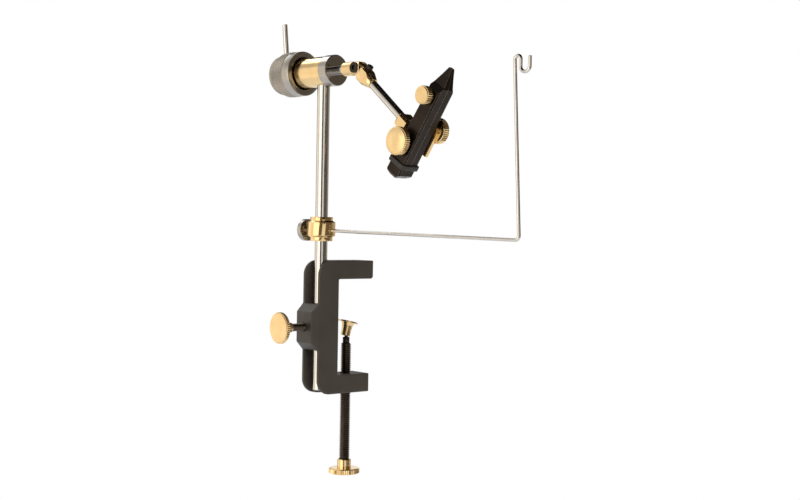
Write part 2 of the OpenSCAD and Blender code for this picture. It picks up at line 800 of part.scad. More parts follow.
// Wire of the bobbin cradle with its hook
module cradle_wire() {
  corner_turn = 90 + leg_lean + wire_droop;
  corner_cut = corner_r * tan(corner_turn / 2);
  arm_l = (wire_reach - seat_r) / cos(wire_droop) - corner_cut;
  color("#c9c6c2")
  at_cradle() translate([seat_r, 0, -seat_r * tan(wire_droop)])
    rotate([90, 0, 0]) rotate([0, 0, -wire_droop])
      wire_run([
        [arm_l, corner_turn, corner_r],
        [leg_h / cos(leg_lean) - corner_cut, -180 - leg_lean, hook_top_r],
        [hook_drop, 180, hook_cup_r],
        [hook_end, 0, 0]
      ]);
}

// Lock screw of the cradle
module cradle_screw() {
  color("#8a8580")
  at_cradle() along_x(-cradle_knob_reach - cradle_knob_t / 2, -post_r - face_gap, cradle_screw_r);
}

// Steel knob of the cradle's lock screw
module cradle_knob() {
  color("#a9a49e")
  at_cradle()
    difference() {
      translate([-cradle_knob_reach - cradle_knob_t, 0, 0]) rotate([0, 90, 0])
        bar(cradle_knob_t, cradle_knob_r, knob_bevel);
      along_x(-cradle_knob_reach - cradle_knob_t / 2 - fixed_gap, 0, cradle_screw_r + fixed_gap);
    }
}

// Brass barrel on the post
module head_barrel() {
  color("#d9b25f")
  at_head()
    difference() {
      along_x(-barrel_back, barrel_front, barrel_r);
      along_x(-barrel_back - over, barrel_front + over, spindle_r + 2 * run_gap);
      along_x(-barrel_back - over, -barrel_back + bush_l, bush_r + fixed_gap);
      along_x(barrel_front - bush_l, barrel_front + over, bush_r + fixed_gap);
      translate([0, 0, -2 * barrel_r])
        cylinder(h = barrel_r + post_sink + face_gap, r = post_r + run_gap);
      translate([0, 0, -2 * barrel_r])
        cylinder(h = 2 * barrel_r + spigot_top - head_z + face_gap, r = spigot_r + run_gap);
      translate([0, 0, head_screw_z]) along_y(0, barrel_r, grub_r + fixed_gap);
    }
}

// Bronze bush from one place to another
module bush(from, to) {
  color("#9c6b30")
  at_head()
    difference() {
      along_x(from, to, bush_r);
      along_x(from - over, to + over, spindle_r + run_gap);
    }
}
module front_bush() bush(barrel_front - bush_l + fixed_gap, barrel_front);
module rear_bush() bush(-barrel_back, -barrel_back + bush_l - fixed_gap);

// Thrust washer from one place to another
module thrust_washer(from) {
  color("#26221f")
  at_head()
    difference() {
      along_x(from, from + washer_t, washer_r);
      along_x(from - over, from + washer_t + over, spindle_r + run_gap);
    }
}
module front_washer() thrust_washer(barrel_front + face_gap);
module rear_washer() thrust_washer(-barrel_back - face_gap - washer_t);

// Set screw that holds the barrel on the post
module head_set_screw() {
  color("#1f1c1a")
  at_head() translate([0, spigot_r + run_gap, head_screw_z]) rotate([-90, 0, 0])
    grub(barrel_r / 3, grub_r);
}

// Steel spindle through the barrel
module spindle() {
  color("#b5b1ac")
  at_head() {
    along_x(-rotor_back + rotor_round / 2, hub_back - face_gap, spindle_r);
    along_x(hub_back - over, spindle_end, spindle_nose_r);
  }
}

// Steel collar in front of the barrel
module front_collar() {
  color("#a9a49e")
  at_head()
    difference() {
      turned_x([
        [nose_back, 0],
        [nose_back, nose_r],
        [nose_front - knob_bevel, nose_r],
        [nose_front, nose_r - knob_bevel],
        [nose_front, 0]
      ]);
      along_x(nose_back - over, nose_front + over, spindle_r + fixed_gap);
      translate([(nose_back + nose_front) / 2, 0, 0]) along_y(0, 2 * nose_r, grub_r + fixed_gap);
    }
}

// Set screw of the front collar
module collar_set_screw() {
  color("#1f1c1a")
  at_head() translate([(nose_back + nose_front) / 2, spindle_r + fixed_gap, 0]) rotate([-90, 0, 0])
    grub(nose_r / 2, grub_r);
}

// Line of the crank rod in the head's frame
module at_crank() {
  at_head() translate([-crank_reach, 0, 0]) rotate([crank_lean, 0, 0]) children();
}

// Knurled rear knob round the back of the barrel
module rear_knob() {
  round_steps = 8;
  color("#a9a49e")
  difference() {
    at_head()
      difference() {
        union() {
          along_x(-rotor_rim, -rotor_front - knob_bevel, rotor_r - knurl_depth);
          turned_x([
            [-rotor_front - knob_bevel, 0],
            [-rotor_front - knob_bevel, rotor_r - knurl_depth],
            [-rotor_front, rotor_r - knurl_depth - knob_bevel],
            [-rotor_front, 0]
          ]);
          turned_x([
            [-rotor_step, 0],
            [-rotor_step, rotor_r - 2 * knurl_depth],
            [-rotor_step + knob_bevel, rotor_r],
            [-rotor_rim - knob_bevel, rotor_r],
            [-rotor_rim, rotor_r - knurl_depth],
            [-rotor_rim, 0]
          ]);
          along_x(-rotor_back + rotor_round, -rotor_step + over, rotor_boss_r);
          along_x(-rotor_back, -rotor_step, rotor_boss_r - rotor_round);
          rotate([0, 90, 0]) translate([0, 0, -rotor_back + rotor_round])
            rotate_extrude() translate([rotor_boss_r - rotor_round, 0]) circle(rotor_round);
        }
        along_x(-recess_floor, 0, recess_r);
        along_x(-rotor_back + rotor_round / 2 - fixed_gap, 0, spindle_r + fixed_gap);
        translate([-crank_reach, 0, 0]) along_y(0, 2 * rotor_r, grub_r + fixed_gap);
        translate([-rotor_back - over, -crank_screw_h * sin(crank_lean), crank_screw_h * cos(crank_lean)])
          along_x(0, crank_screw_depth + over, grub_r + fixed_gap);
      }
    at_crank() translate([0, 0, crank_start - fixed_gap]) cylinder(h = rotor_r, r = crank_r + fixed_gap);
  }
}

// Set screw that holds the rear knob on the spindle
module knob_set_screw() {
  color("#1f1c1a")
  at_head() translate([-crank_reach, spindle_r + fixed_gap, 0]) rotate([-90, 0, 0])
    grub(rotor_boss_r / 2, grub_r);
}

// Steel crank rod
module crank_rod() {
  color("#c9c6c2")
  at_crank() translate([0, 0, crank_start]) bar(crank_h - crank_start, crank_r, bar_bevel / 2);
}

// Set screw that holds the crank rod
module crank_screw() {
  color("#1f1c1a")
  at_head()
    translate([-crank_reach - crank_r - fixed_gap, -crank_screw_h * sin(crank_lean),
      crank_screw_h * cos(crank_lean)])
      rotate([0, -90, 0]) grub(crank_screw_depth - 2 * bar_bevel, grub_r);
}

// Brass hub with a slot for the elbow
module hub() {
  head_seat = -hub_r - face_gap + pivot_head_t;
  color("#d9b25f")
  at_head()
    difference() {
      intersection() {
        union() {
          along_x(hub_back + knob_bevel, elbow_reach + hub_r, hub_r);
          turned_x([
            [hub_back, 0],
            [hub_back, hub_r - knob_bevel],
            [hub_back + knob_bevel, hub_r],
            [hub_back + knob_bevel, 0]
          ]);
        }
        union() {
          translate([hub_back, -hub_r, -hub_r]) cube([elbow_reach - hub_back, 2 * hub_r, 2 * hub_r]);
          translate([elbow_reach, 0, 0]) along_y(-hub_r, hub_r, ear_r);
        }
      }
      along_x(hub_back - over, spindle_end + fixed_gap, spindle_nose_r + fixed_gap);
      translate([slot_start, -tongue_t / 2 - face_gap, -hub_r - over])
        cube([elbow_reach, tongue_t + 2 * face_gap, 2 * hub_r + 2 * over]);
      translate([elbow_reach, 0, 0]) {
        along_y(-hub_r - over, hub_r + over, pivot_r + fixed_gap);
        along_y(-hub_r - over, head_seat, pivot_head_r + fixed_gap);
      }
    }
}

// Socket screw on which the elbow tilts
module pivot_screw() {
  head_seat = -hub_r - face_gap + pivot_head_t;
  color("#1f1c1a")
  at_head() translate([elbow_reach, 0, 0])
    difference() {
      union() {
        along_y(-hub_r - pivot_head_t / 4, head_seat, pivot_head_r);
        along_y(head_seat - over, hub_r - knob_bevel, pivot_r);
      }
      translate([0, -hub_r - pivot_head_t / 4 - over, 0]) rotate([-90, 0, 0])
        cylinder(h = over + 0.6 * pivot_head_t, r = pivot_head_r / 2, $fn = 6);
    }
}

// Brass elbow that tilts in the hub and holds the arm rod
module elbow() {
  color("#d9b25f")
  at_arm()
    difference() {
      union() {
        intersection() {
          turned_x([
            [elbow_start, 0],
            [elbow_start, elbow_r - knob_bevel],
            [elbow_start + knob_bevel, elbow_r],
            [elbow_cone, elbow_r],
            [elbow_end, elbow_end_r],
            [elbow_end, 0]
          ]);
          translate([0, -elbow_flat_w / 2, -2 * elbow_r]) cube([elbow_end, elbow_flat_w, 4 * elbow_r]);
        }
        along_y(-tongue_t / 2, tongue_t / 2, tongue_r);
        translate([0, -tongue_t / 2, -tongue_r]) cube([elbow_start + over / 2, tongue_t, 2 * tongue_r]);
      }
      along_y(-tongue_t, tongue_t, pivot_r + run_gap);
      along_x(rod_start - fixed_gap, elbow_end + over, rod_r + fixed_gap);
      translate([(elbow_start + elbow_cone) / 2, 0, 0])
        cylinder(h = 2 * elbow_r, r = elbow_screw_r + fixed_gap);
    }
}

// Socket screw that holds the arm rod in the elbow
module elbow_set_screw() {
  color("#1f1c1a")
  at_arm() translate([(elbow_start + elbow_cone) / 2, 0, rod_r + fixed_gap])
    grub(elbow_screw_h - rod_r, elbow_screw_r);
}

// Steel arm rod
module arm_rod() {
  color("#c9c6c2")
  at_arm() translate([rod_start, 0, 0]) rotate([0, 90, 0]) bar(rod_l, rod_r, bar_bevel);
}

// Side view of the knuckle's tongue in the arm's frame
module link_outline() {
  translate([jaw_along, -jaw_below]) {
    circle(link_r);
    rotate(link_angle) translate([0, -link_w / 2]) square([link_rise, link_w]);
  }
}

// Brass knuckle between the arm rod and the jaws
module knuckle() {
  half_h = knuckle_h / 2;
  color("#d9b25f")
  at_arm()
    difference() {
      union() {
        intersection() {
          slab_y(-knuckle_w / 2, knuckle_w / 2) polygon([
            [knuckle_start, -half_h + knuckle_bevel / 2],
            [knuckle_start, half_h - knuckle_bevel / 2],
            [knuckle_start + knuckle_bevel / 2, half_h],
            [knuckle_end - knuckle_bevel, half_h],
            [knuckle_end, half_h - knuckle_bevel],
            [knuckle_end, -half_h],
            [knuckle_start + knuckle_bevel / 2, -half_h]
          ]);
          rotate([90, 0, 90]) translate([0, 0, knuckle_start - over])
            linear_extrude(knuckle_end - knuckle_start + 2 * over) polygon([
              [-knuckle_w / 2, -half_h],
              [knuckle_w / 2, -half_h],
              [knuckle_w / 2, half_h - knuckle_bevel],
              [knuckle_w / 2 - knuckle_bevel, half_h],
              [-knuckle_w / 2 + knuckle_bevel, half_h],
              [-knuckle_w / 2, half_h - knuckle_bevel]
            ]);
        }
        slab_y(face_gap, face_gap + link_t) link_outline();
      }
      along_x(knuckle_start - over, rod_end + fixed_gap, rod_r + fixed_gap);
      translate([knuckle_screw_along, 0, 0]) rotate([180, 0, 0])
        cylinder(h = knuckle_h, r = grub_r + fixed_gap);
      translate([jaw_along, 0, -jaw_below]) along_y(0, link_t + over, stud_r + fixed_gap);
    }
}

// Set screw that holds the arm rod in the knuckle
module knuckle_set_screw() {
  color("#1f1c1a")
  at_arm() translate([knuckle_screw_along, 0, -rod_r - fixed_gap]) rotate([180, 0, 0])
    grub(knuckle_h / 2 - rod_r, grub_r);
}

// Children are placed on the jaw's pivot in the jaw's frame
module at_lock() at_jaw() translate([lock_a, 0, -lock_b]) children();

// Stud on which the jaws tilt, fixed in the knuckle's tongue
module lock_stud() {
  color("#8a8580")
  at_lock() along_y(-lock_knob_back - lock_rim_t, face_gap + link_t, stud_r);
}

// Washer under the lock knob
module lock_washer() {
  color("#d9b25f")
  at_lock()
    difference() {
      along_y(-jaw_t - face_gap - lock_washer_t, -jaw_t - face_gap, lock_washer_r);
      along_y(-2 * lock_knob_back, 0, stud_r + run_gap);
    }
}

// Domed knob that locks the tilt of the jaws
module lock_knob() {
  root_r = lock_knob_r - 2 * knurl_depth - knob_bevel;
  dome_r = (pow(root_r, 2) + pow(lock_dome_h, 2)) / (2 * lock_dome_h);
  color("#d9b25f")
  at_lock() rotate([90, 0, 0])
    difference() {
      union() {
        translate([0, 0, lock_knob_back]) knurled_disc(lock_rim_t, lock_knob_r);
        intersection() {
          translate([0, 0, lock_knob_back + lock_rim_t + lock_dome_h - dome_r]) sphere(dome_r, $fn = 128);
          translate([0, 0, lock_knob_back + lock_rim_t / 2]) cylinder(h = dome_r, r = root_r);
        }
      }
      cylinder(h = lock_knob_back + lock_rim_t + face_gap, r = stud_r + run_gap);
    }
}

// Blank of one jaw half on the +y side, with bevelled long edges
module jaw_blank() {
  back_slope = (heel_b - back_b) / (rocker_a - back_a);
  foot_b = heel_b + back_slope * foot_l;
  intersection() {
    slab_y(0, jaw_t) polygon([
      [0, tip_front],
      [0, -tip_back],
      [back_a, -back_b],
      [jaw_l - foot_bevel, -foot_b],
      [jaw_l, -foot_b + foot_bevel],
      [jaw_l, front_b - foot_bevel],
      [jaw_l - foot_bevel, front_b],
      [front_a, front_b]
    ]);
    translate([0, 0, -2 * heel_b]) linear_extrude(4 * heel_b) polygon([
      [0, 0],
      [0, tip_t],
      [taper_l * hollow_share / 2, tip_t + (jaw_t - tip_t) * hollow_share / 2 - tip_hollow * 2 / 3],
      [taper_l * hollow_share, tip_t + (jaw_t - tip_t) * hollow_share - tip_hollow],
      [taper_l, jaw_t],
      [jaw_l - foot_bevel / 2, jaw_t],
      [jaw_l, jaw_t - foot_bevel / 2],
      [jaw_l, 0]
    ]);
    rotate([90, 0, 90]) linear_extrude(jaw_l) polygon([
      [0, -2 * heel_b],
      [jaw_t, -2 * heel_b],
      [jaw_t, front_b - jaw_bevel],
      [jaw_t - jaw_bevel, front_b],
      [0, front_b]
    ]);
    translate([back_a, 0, -back_b]) rotate([0, asin(back_slope), 0]) rotate([90, 0, 90])
      translate([0, 0, -2 * back_a]) linear_extrude(2 * jaw_l) polygon([
        [0, 0],
        [jaw_t - jaw_bevel, 0],
        [jaw_t, jaw_bevel],
        [jaw_t, 4 * heel_b],
        [0, 4 * heel_b]
      ]);
  }
}

// Groove for the rocker pin and relief below it, on the +y side
module rocker_cut() {
  translate([rocker_a, 0, -2 * heel_b]) cylinder(h = 4 * heel_b, r = rocker_r + run_gap);
  translate([rocker_a, -over, -2 * heel_b]) cube([jaw_l, over + foot_gap, 4 * heel_b]);
}

// Near half of the jaws, which tilts on the stud
module near_jaw() {
  color("#23211f")
  at_jaw()
    difference() {
      mirror([0, 1, 0]) jaw_blank();
      mirror([0, 1, 0]) rocker_cut();
      translate([lock_a, 0, -lock_b]) along_y(-jaw_t - over, over, stud_r + run_gap);
      translate([adjust_a, 0, -adjust_b]) {
        along_y(-jaw_t - over, over, adjust_r + run_gap);
        along_y(-spring_l / 2 - face_gap, over, spring_pocket_r);
      }
      translate([cam_a, 0, cam_b]) along_y(-jaw_t * 0.75, over, cam_shaft_r + fixed_gap);
    }
}

// Pocket of the far half for the knuckle's tongue, over the whole tilt
module link_pocket() {
  half_w = link_w / 2 + link_gap;
  first = tongue_slope - tilt_back;
  last = tongue_slope + tilt_forward;
  first_side = half_w * [-sin(first), cos(first)];
  last_side = half_w * [sin(last), -cos(last)];
  translate([lock_a, -lock_b]) {
    circle(pocket_r);
    polygon([
      first_side,
      first_side - pocket_reach * [cos(first), sin(first)],
      last_side - pocket_reach * [cos(last), sin(last)],
      last_side
    ]);
  }
}

// Far half of the jaws, which rocks on the pin
module far_jaw() {
  color("#23211f")
  at_jaw()
    difference() {
      jaw_blank();
      rocker_cut();
      slab_y(-over, pocket_t) link_pocket();
      translate([adjust_a, 0, -adjust_b]) {
        along_y(-over, jaw_t + over, adjust_r + rock_gap);
        along_y(-over, spring_l / 2 + face_gap, spring_pocket_r);
      }
      translate([cam_a, 0, cam_b]) along_y(-over, jaw_t + over, cam_shaft_r + rock_gap);
    }
}

// Pin on which the far half rocks
module rocker_pin() {
  color("#8a8580")
  at_jaw() translate([rocker_a, 0, -heel_b + jaw_bevel])
    cylinder(h = heel_b + front_b - 2 * jaw_bevel, r = rocker_r);
}

// Section of both jaw halves at the rocker pin, grown all round
module jaw_section(grow) {
  half_t = jaw_t + grow;
  back = -heel_b - grow;
  front = front_b + grow;
  corner = jaw_bevel + grow * (1 - tan(45 / 2));
  polygon([
    [half_t - corner, front],
    [half_t, front - corner],
    [half_t, back + corner],
    [half_t - corner, back],
    [-half_t + corner, back],
    [-half_t, back + corner],
    [-half_t, front - corner],
    [-half_t + corner, front]
  ]);
}

// Rubber band stretched round the feet of the jaws
module rubber_band() {
  slack = 4 * face_gap;
  bevel = band_t / 4;
  color("#1b1918")
  at_jaw() translate([rocker_a, 0, 0]) rotate([90, 0, 90])
    difference() {
      union() {
        translate([0, 0, -band_w / 2]) linear_extrude(band_w) jaw_section(slack + band_t - bevel);
        translate([0, 0, -band_w / 2 + bevel]) linear_extrude(band_w - 2 * bevel)
          jaw_section(slack + band_t);
      }
      translate([0, 0, -band_w]) linear_extrude(2 * band_w) jaw_section(slack);
    }
}

// Screw that sets the gap of the jaws
module adjust_screw() {
  color("#8a8580")
  at_jaw() translate([adjust_a, 0, -adjust_b])
    along_y(-jaw_t - face_gap - adjust_hub_t - adjust_knob_t / 2, jaw_t, adjust_r);
}

// Small knob of the adjusting screw
module adjust_knob() {
  hub_back = jaw_t + face_gap;
  color("#d9b25f")
  at_jaw() translate([adjust_a, 0, -adjust_b]) rotate([90, 0, 0])
    difference() {
      union() {
        translate([0, 0, hub_back]) cylinder(h = adjust_hub_t + over, r = adjust_knob_r / 2);
        translate([0, 0, hub_back + adjust_hub_t]) knurled_disc(adjust_knob_t, adjust_knob_r);
      }
      cylinder(h = hub_back + adjust_hub_t + adjust_knob_t / 2 + fixed_gap, r = adjust_r + fixed_gap);
    }
}

// Point on ring number ring and side number side of the spring's wire
function spring_point(ring, side) =
  let (
    turn = 360 * ring / spring_rings,
    angle = 360 * side / spring_sides,
    r = spring_r + spring_wire_r * cos(angle),
    climb = (spring_l - 2 * spring_wire_r) * ring / (spring_turns * spring_rings)
  )
  [r * cos(turn), r * sin(turn), spring_wire_r * (1 + sin(angle)) + climb];

// Spring that opens the jaws, round the adjusting screw
module jaw_spring() {
  color("#a9a49e")
  at_jaw() translate([adjust_a, -spring_l / 2, -adjust_b]) rotate([-90, 0, 0])
    tube([for (ring = [0:spring_turns * spring_rings], side = [0:spring_sides - 1])
      spring_point(ring, side)], spring_sides);
}

// Children are placed on the cam's shaft in the jaw's frame
module at_cam() at_jaw() translate([cam_a, 0, cam_b]) children();

// Shaft of the cam, fixed in the near half
module cam_shaft() {
  color("#8a8580")
  at_cam() along_y(-jaw_t * 0.75 + fixed_gap, cam_disc_back + cam_t * 0.8, cam_shaft_r);
}

// Washer that the cam presses on the far half
module cam_washer() {
  color("#d9b25f")
  at_cam()
    difference() {
      along_y(jaw_t + face_gap, jaw_t + face_gap + cam_washer_t, cam_washer_r);
      along_y(0, 2 * cam_disc_back, cam_shaft_r + run_gap);
    }
}

// Knurled disc of the cam
module cam_disc() {
  color("#c08a3c")
  at_cam() rotate([-90, 0, 0])
    difference() {
      translate([0, 0, cam_disc_back]) knurled_disc(cam_t, cam_r);
      cylinder(h = cam_disc_back + cam_t * 0.8 + fixed_gap, r = cam_shaft_r + run_gap);
      translate([-over, -lever_offset - lever_w / 2 - fixed_gap, 0])
        cube([cam_r + 2 * over, lever_w + 2 * fixed_gap, lever_back + lever_t + fixed_gap]);
    }
}

// Lever bar that turns the cam
module cam_lever() {
  color("#d9a441")
  at_cam()
    difference() {
      translate([0, lever_back, lever_offset - lever_w / 2]) cube([lever_l, lever_t, lever_w]);
      along_y(0, 2 * cam_disc_back, cam_washer_r + face_gap * 4);
    }
}

clamp_frame();
post_shoe();
post_screw();
post_screw_knob();
swivel_ball();
clamp_screw();
clamp_knob();
knob_pin();
swivel_pad();
post();
cradle_collar();
cradle_wire();
cradle_screw();
cradle_knob();
head_barrel();
front_bush();
rear_bush();
front_washer();
rear_washer();
head_set_screw();
spindle();
front_collar();
collar_set_screw();
rear_knob();
knob_set_screw();
crank_rod();
crank_screw();
hub();
pivot_screw();
elbow();
elbow_set_screw();
arm_rod();
knuckle();
knuckle_set_screw();
lock_stud();
lock_washer();
lock_knob();
near_jaw();
far_jaw();
rocker_pin();
rubber_band();
adjust_screw();
adjust_knob();
jaw_spring();
cam_shaft();
cam_washer();
cam_disc();
cam_lever();
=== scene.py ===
# %% [markdown]
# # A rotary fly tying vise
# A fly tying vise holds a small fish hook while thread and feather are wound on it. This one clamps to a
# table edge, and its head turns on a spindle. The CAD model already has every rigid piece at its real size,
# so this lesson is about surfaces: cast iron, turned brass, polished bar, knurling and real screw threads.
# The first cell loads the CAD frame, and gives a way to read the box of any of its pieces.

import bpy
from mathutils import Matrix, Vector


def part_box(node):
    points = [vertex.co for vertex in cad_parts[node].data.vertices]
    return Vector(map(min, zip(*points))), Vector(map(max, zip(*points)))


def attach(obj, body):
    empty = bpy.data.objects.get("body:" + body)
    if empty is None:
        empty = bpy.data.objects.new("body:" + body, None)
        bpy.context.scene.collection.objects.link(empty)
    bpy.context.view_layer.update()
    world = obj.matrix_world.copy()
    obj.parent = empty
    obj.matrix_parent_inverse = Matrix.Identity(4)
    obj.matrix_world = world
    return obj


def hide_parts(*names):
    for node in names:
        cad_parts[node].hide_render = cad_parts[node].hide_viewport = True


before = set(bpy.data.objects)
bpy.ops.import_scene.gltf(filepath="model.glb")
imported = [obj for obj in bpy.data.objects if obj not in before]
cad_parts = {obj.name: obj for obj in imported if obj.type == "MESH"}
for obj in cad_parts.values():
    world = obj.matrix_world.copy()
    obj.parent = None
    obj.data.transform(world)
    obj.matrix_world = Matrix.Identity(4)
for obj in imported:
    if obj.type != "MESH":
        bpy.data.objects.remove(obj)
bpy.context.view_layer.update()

import math

import bmesh
import bpy
from mathutils import Matrix, Vector

MM = 0.001

# %% [markdown]
# ## Axes of the vise
# Most of the vise was made on a lathe, so each piece has an axis. The axes follow from four angles: how far
# the head is turned from the clamp's throat, how steeply the arm drops, how steeply the jaws rise, and how
# far the pad has tipped on its ball. Each one is a vector, which later cells use like a ruler's direction.

# %% Axes
UP = Vector((0, 0, 1))
THROAT = Vector((1, 0, 0))
head_yaw = math.radians(-84)
arm_drop = math.radians(40.5)
jaw_rise = math.radians(56.3)
pad_tip = math.radians(14)

head_axis = Vector((math.cos(head_yaw), math.sin(head_yaw), 0))
side_axis = UP.cross(head_axis)
arm_axis = head_axis * math.cos(arm_drop) - UP * math.sin(arm_drop)
arm_normal = head_axis * math.sin(arm_drop) + UP * math.cos(arm_drop)
jaw_axis = -head_axis * math.cos(jaw_rise) - UP * math.sin(jaw_rise)
jaw_front = head_axis * math.sin(jaw_rise) - UP * math.cos(jaw_rise)
pad_axis = THROAT * math.sin(pad_tip) + UP * math.cos(pad_tip)
print("head's axis:", [round(part, 3) for part in head_axis])

# %% [markdown]
# ## Places on the vise
# The lengths below are real millimetres times MM, because Blender works in metres. They lead from the post
# to the head, along the arm to the pivot of the jaws, and from there to the tip where a hook is held.

# %% Places
post_x = -25.775 * MM
head_at = Vector((post_x, 0, 154.2 * MM))
elbow_at = head_at + head_axis * 37 * MM
jaw_pivot_at = elbow_at + arm_axis * 75.64 * MM - arm_normal * 8.09 * MM
jaw_tip_at = jaw_pivot_at - jaw_axis * 61.5 * MM + jaw_front * 3.9 * MM


def on_jaw(along, forward):
    """A place at so many metres along the jaws from their tip, and forward of the line through it."""
    return jaw_tip_at + jaw_axis * along + jaw_front * forward


adjuster_at = on_jaw(23.5 * MM, -1.7 * MM)
cam_at = on_jaw(46.8 * MM, 4 * MM)
band_at = on_jaw(76.5 * MM, 0)
clamp_screw_at = Vector((post_x + 24.8 * MM, 0, 0))
pad_at = clamp_screw_at - UP * 39.6 * MM
thumb_screw_at = Vector((post_x, 0, -35.3 * MM))
cradle_height = 37.1 * MM
print("tip of the jaws, in mm:", [round(part / MM, 1) for part in jaw_tip_at])

# %% [markdown]
# ## Camera
# The camera stands where the photographer stood: 975 mm from the post, almost level, with a long lens. The
# verticals of the photograph stay parallel, so the lens is shifted a little instead of tilted, and a roll
# under one degree matches the lean of the post. Three axes of the picture, right, up and away, give both
# the camera's rotation and the directions in which the lamps are placed. The width of one pixel at the vise
# tells which patterns are too fine to show.

# %% Camera
picture_width = 800
camera_distance = 975 * MM
camera_side = 58.4 * MM
camera_height = 38.8 * MM
camera_roll = 0.0162
view_turn = math.radians(40)

right = Vector((math.cos(view_turn), -math.sin(view_turn), 0))
away = Vector((math.sin(view_turn), math.cos(view_turn), 0))
camera_right = right * math.cos(camera_roll) + UP * math.sin(camera_roll)
camera_up = UP * math.cos(camera_roll) - right * math.sin(camera_roll)

camera_data = bpy.data.cameras.new("camera")
camera_data.sensor_width = 36
camera_data.lens = 58.95
camera_data.shift_y = -0.0275
camera_data.clip_start = 10 * MM
camera = bpy.data.objects.new("camera", camera_data)
camera_at = Vector((post_x, 0, camera_height)) + right * camera_side - away * camera_distance
camera_turn = Matrix((camera_right, camera_up, -away)).transposed()
camera.matrix_world = Matrix.Translation(camera_at) @ camera_turn.to_4x4()
bpy.context.scene.collection.objects.link(camera)
bpy.context.scene.camera = camera
bpy.context.scene.view_settings.view_transform = "Standard"
pixel = camera_distance * camera_data.sensor_width / camera_data.lens / picture_width
print("one pixel is", round(pixel / MM, 2), "mm wide at the vise")

# %% [markdown]
# ## Helpers for colours and nodes
# A colour is written as the hex value that it has on a screen, and one function turns it to the linear
# values that a shader works with. Another small function adds any node, with its settings and its links,
# and a third starts an empty material for them.

# %% Colours and nodes
def linear(hex_colour):
    parts = [int(hex_colour[i:i + 2], 16) / 255 for i in (1, 3, 5)]
    return [p / 12.92 if p <= 0.04045 else ((p + 0.055) / 1.055) ** 2.4 for p in parts] + [1]


def add(tree, kind, inputs=None, **settings):
    """Adds a shader node. A value of inputs is either a number or colour, or a socket to link."""
    node = tree.nodes.new("ShaderNode" + kind)
    for name, value in settings.items():
        setattr(node, name, value)
    for name, value in (inputs or {}).items():
        if isinstance(value, bpy.types.NodeSocket):
            tree.links.new(value, node.inputs[name])
        else:
            node.inputs[name].default_value = value
    return node


def new_material(name):
    material = bpy.data.materials.new(name)
    material.use_nodes = True
    material.node_tree.nodes.clear()
    return material, material.node_tree


print("jaw black as linear light:", [round(part, 4) for part in linear("#1b1613")[:3]])

# %% [markdown]
# ## Helpers for meshes
# Every piece made here is a list of points and a list of faces. Neck, knob, wire and band all consist of
# rings of points that follow one another, so one function gives a round ring and another the four-sided
# faces between rings. Blender finds out by itself which side of a closed mesh is its outside.

# %% Meshes
def new_piece(name, points, faces, smooth=True):
    mesh = bpy.data.meshes.new(name)
    mesh.from_pydata(points, [], faces)
    mesh.update()
    piece = bpy.data.objects.new(name, mesh)
    bpy.context.scene.collection.objects.link(piece)
    if smooth:
        mesh.shade_smooth()
    return piece


def face_outwards(piece):
    bm = bmesh.new()
    bm.from_mesh(piece.data)
    bmesh.ops.recalc_face_normals(bm, faces=bm.faces)
    bm.to_mesh(piece.data)
    bm.free()


def round_ring(centre, first, second, radius, sides):
    """Points round a centre, in the plane of two directions that are square to each other."""
    swings = [2 * math.pi * side / sides for side in range(sides)]
    return [centre + (first * math.cos(swing) + second * math.sin(swing)) * radius for swing in swings]


def ring_faces(rings, sides, endless=False):
    """Faces between rings of so many sides each. An endless row of rings also joins its last to its first."""
    faces = []
    for ring in range(rings if endless else rings - 1):
        for side in range(sides):
            a = ring * sides
            b = (ring + 1) % rings * sides
            after = (side + 1) % sides
            faces.append((a + side, a + after, b + after, b + side))
    return faces


def end_caps(rings, sides):
    """One flat face on the first ring and one on the last."""
    last = (rings - 1) * sides
    return [tuple(range(sides)), tuple(range(last, last + sides))]


print("a tube of 3 rings with 8 sides has", len(ring_faces(3, 8) + end_caps(3, 8)), "faces")

# %% [markdown]
# ## White sweep
# The photograph is a product shot on pure white. The floor lies well below the vise, where no shadow of it
# reaches the picture. Both the floor and the world are white to the camera and to mirror-like rays, and the
# light that falls on the vise stays at a plain level.

# %% Floor
floor_drop = 330 * MM
floor_half = 12.0
white_level = 1.0
fill_level = 0.5


def seen_directly(tree):
    """1 for camera, mirror-like and transmitted rays, and 0 for the light that falls on the vise."""
    path = add(tree, "LightPath")
    seen = add(tree, "Math", {0: path.outputs["Is Camera Ray"], 1: path.outputs["Is Glossy Ray"]},
               operation="MAXIMUM")
    return add(tree, "Math", {0: seen.outputs[0], 1: path.outputs["Is Transmission Ray"]},
               operation="MAXIMUM").outputs[0]


floor_material, tree = new_material("white_sweep")
lit = add(tree, "BsdfDiffuse", {"Color": linear("#a8a6a2")})
white = add(tree, "Emission", {"Color": (1, 1, 1, 1), "Strength": white_level})
mixed = add(tree, "MixShader", {0: seen_directly(tree), 1: lit.outputs[0], 2: white.outputs[0]})
add(tree, "OutputMaterial", {"Surface": mixed.outputs[0]})

SQUARE = ((-1, -1), (1, -1), (1, 1), (-1, 1))
floor_corners = [(x * floor_half, y * floor_half, -floor_drop) for x, y in SQUARE]
floor = new_piece("floor", floor_corners, [(0, 1, 2, 3)], smooth=False)
floor.data.materials.append(floor_material)
print("floor lies", round(floor_drop / MM), "mm under the table edge")

# %% [markdown]
# The world behind the floor follows the same rule, so no horizon shows between the two.

# %% World
world = bpy.data.worlds.new("studio")
bpy.context.scene.world = world
world.use_nodes = True
tree = world.node_tree
tree.nodes.clear()
level = add(tree, "MapRange", {"Value": seen_directly(tree), "To Min": fill_level, "To Max": white_level})
background = add(tree, "Background", {"Color": (1, 1, 1, 1), "Strength": level.outputs[0]})
add(tree, "OutputWorld", {"Surface": background.outputs[0]})
print("world lights the vise at", fill_level, "and looks", white_level)

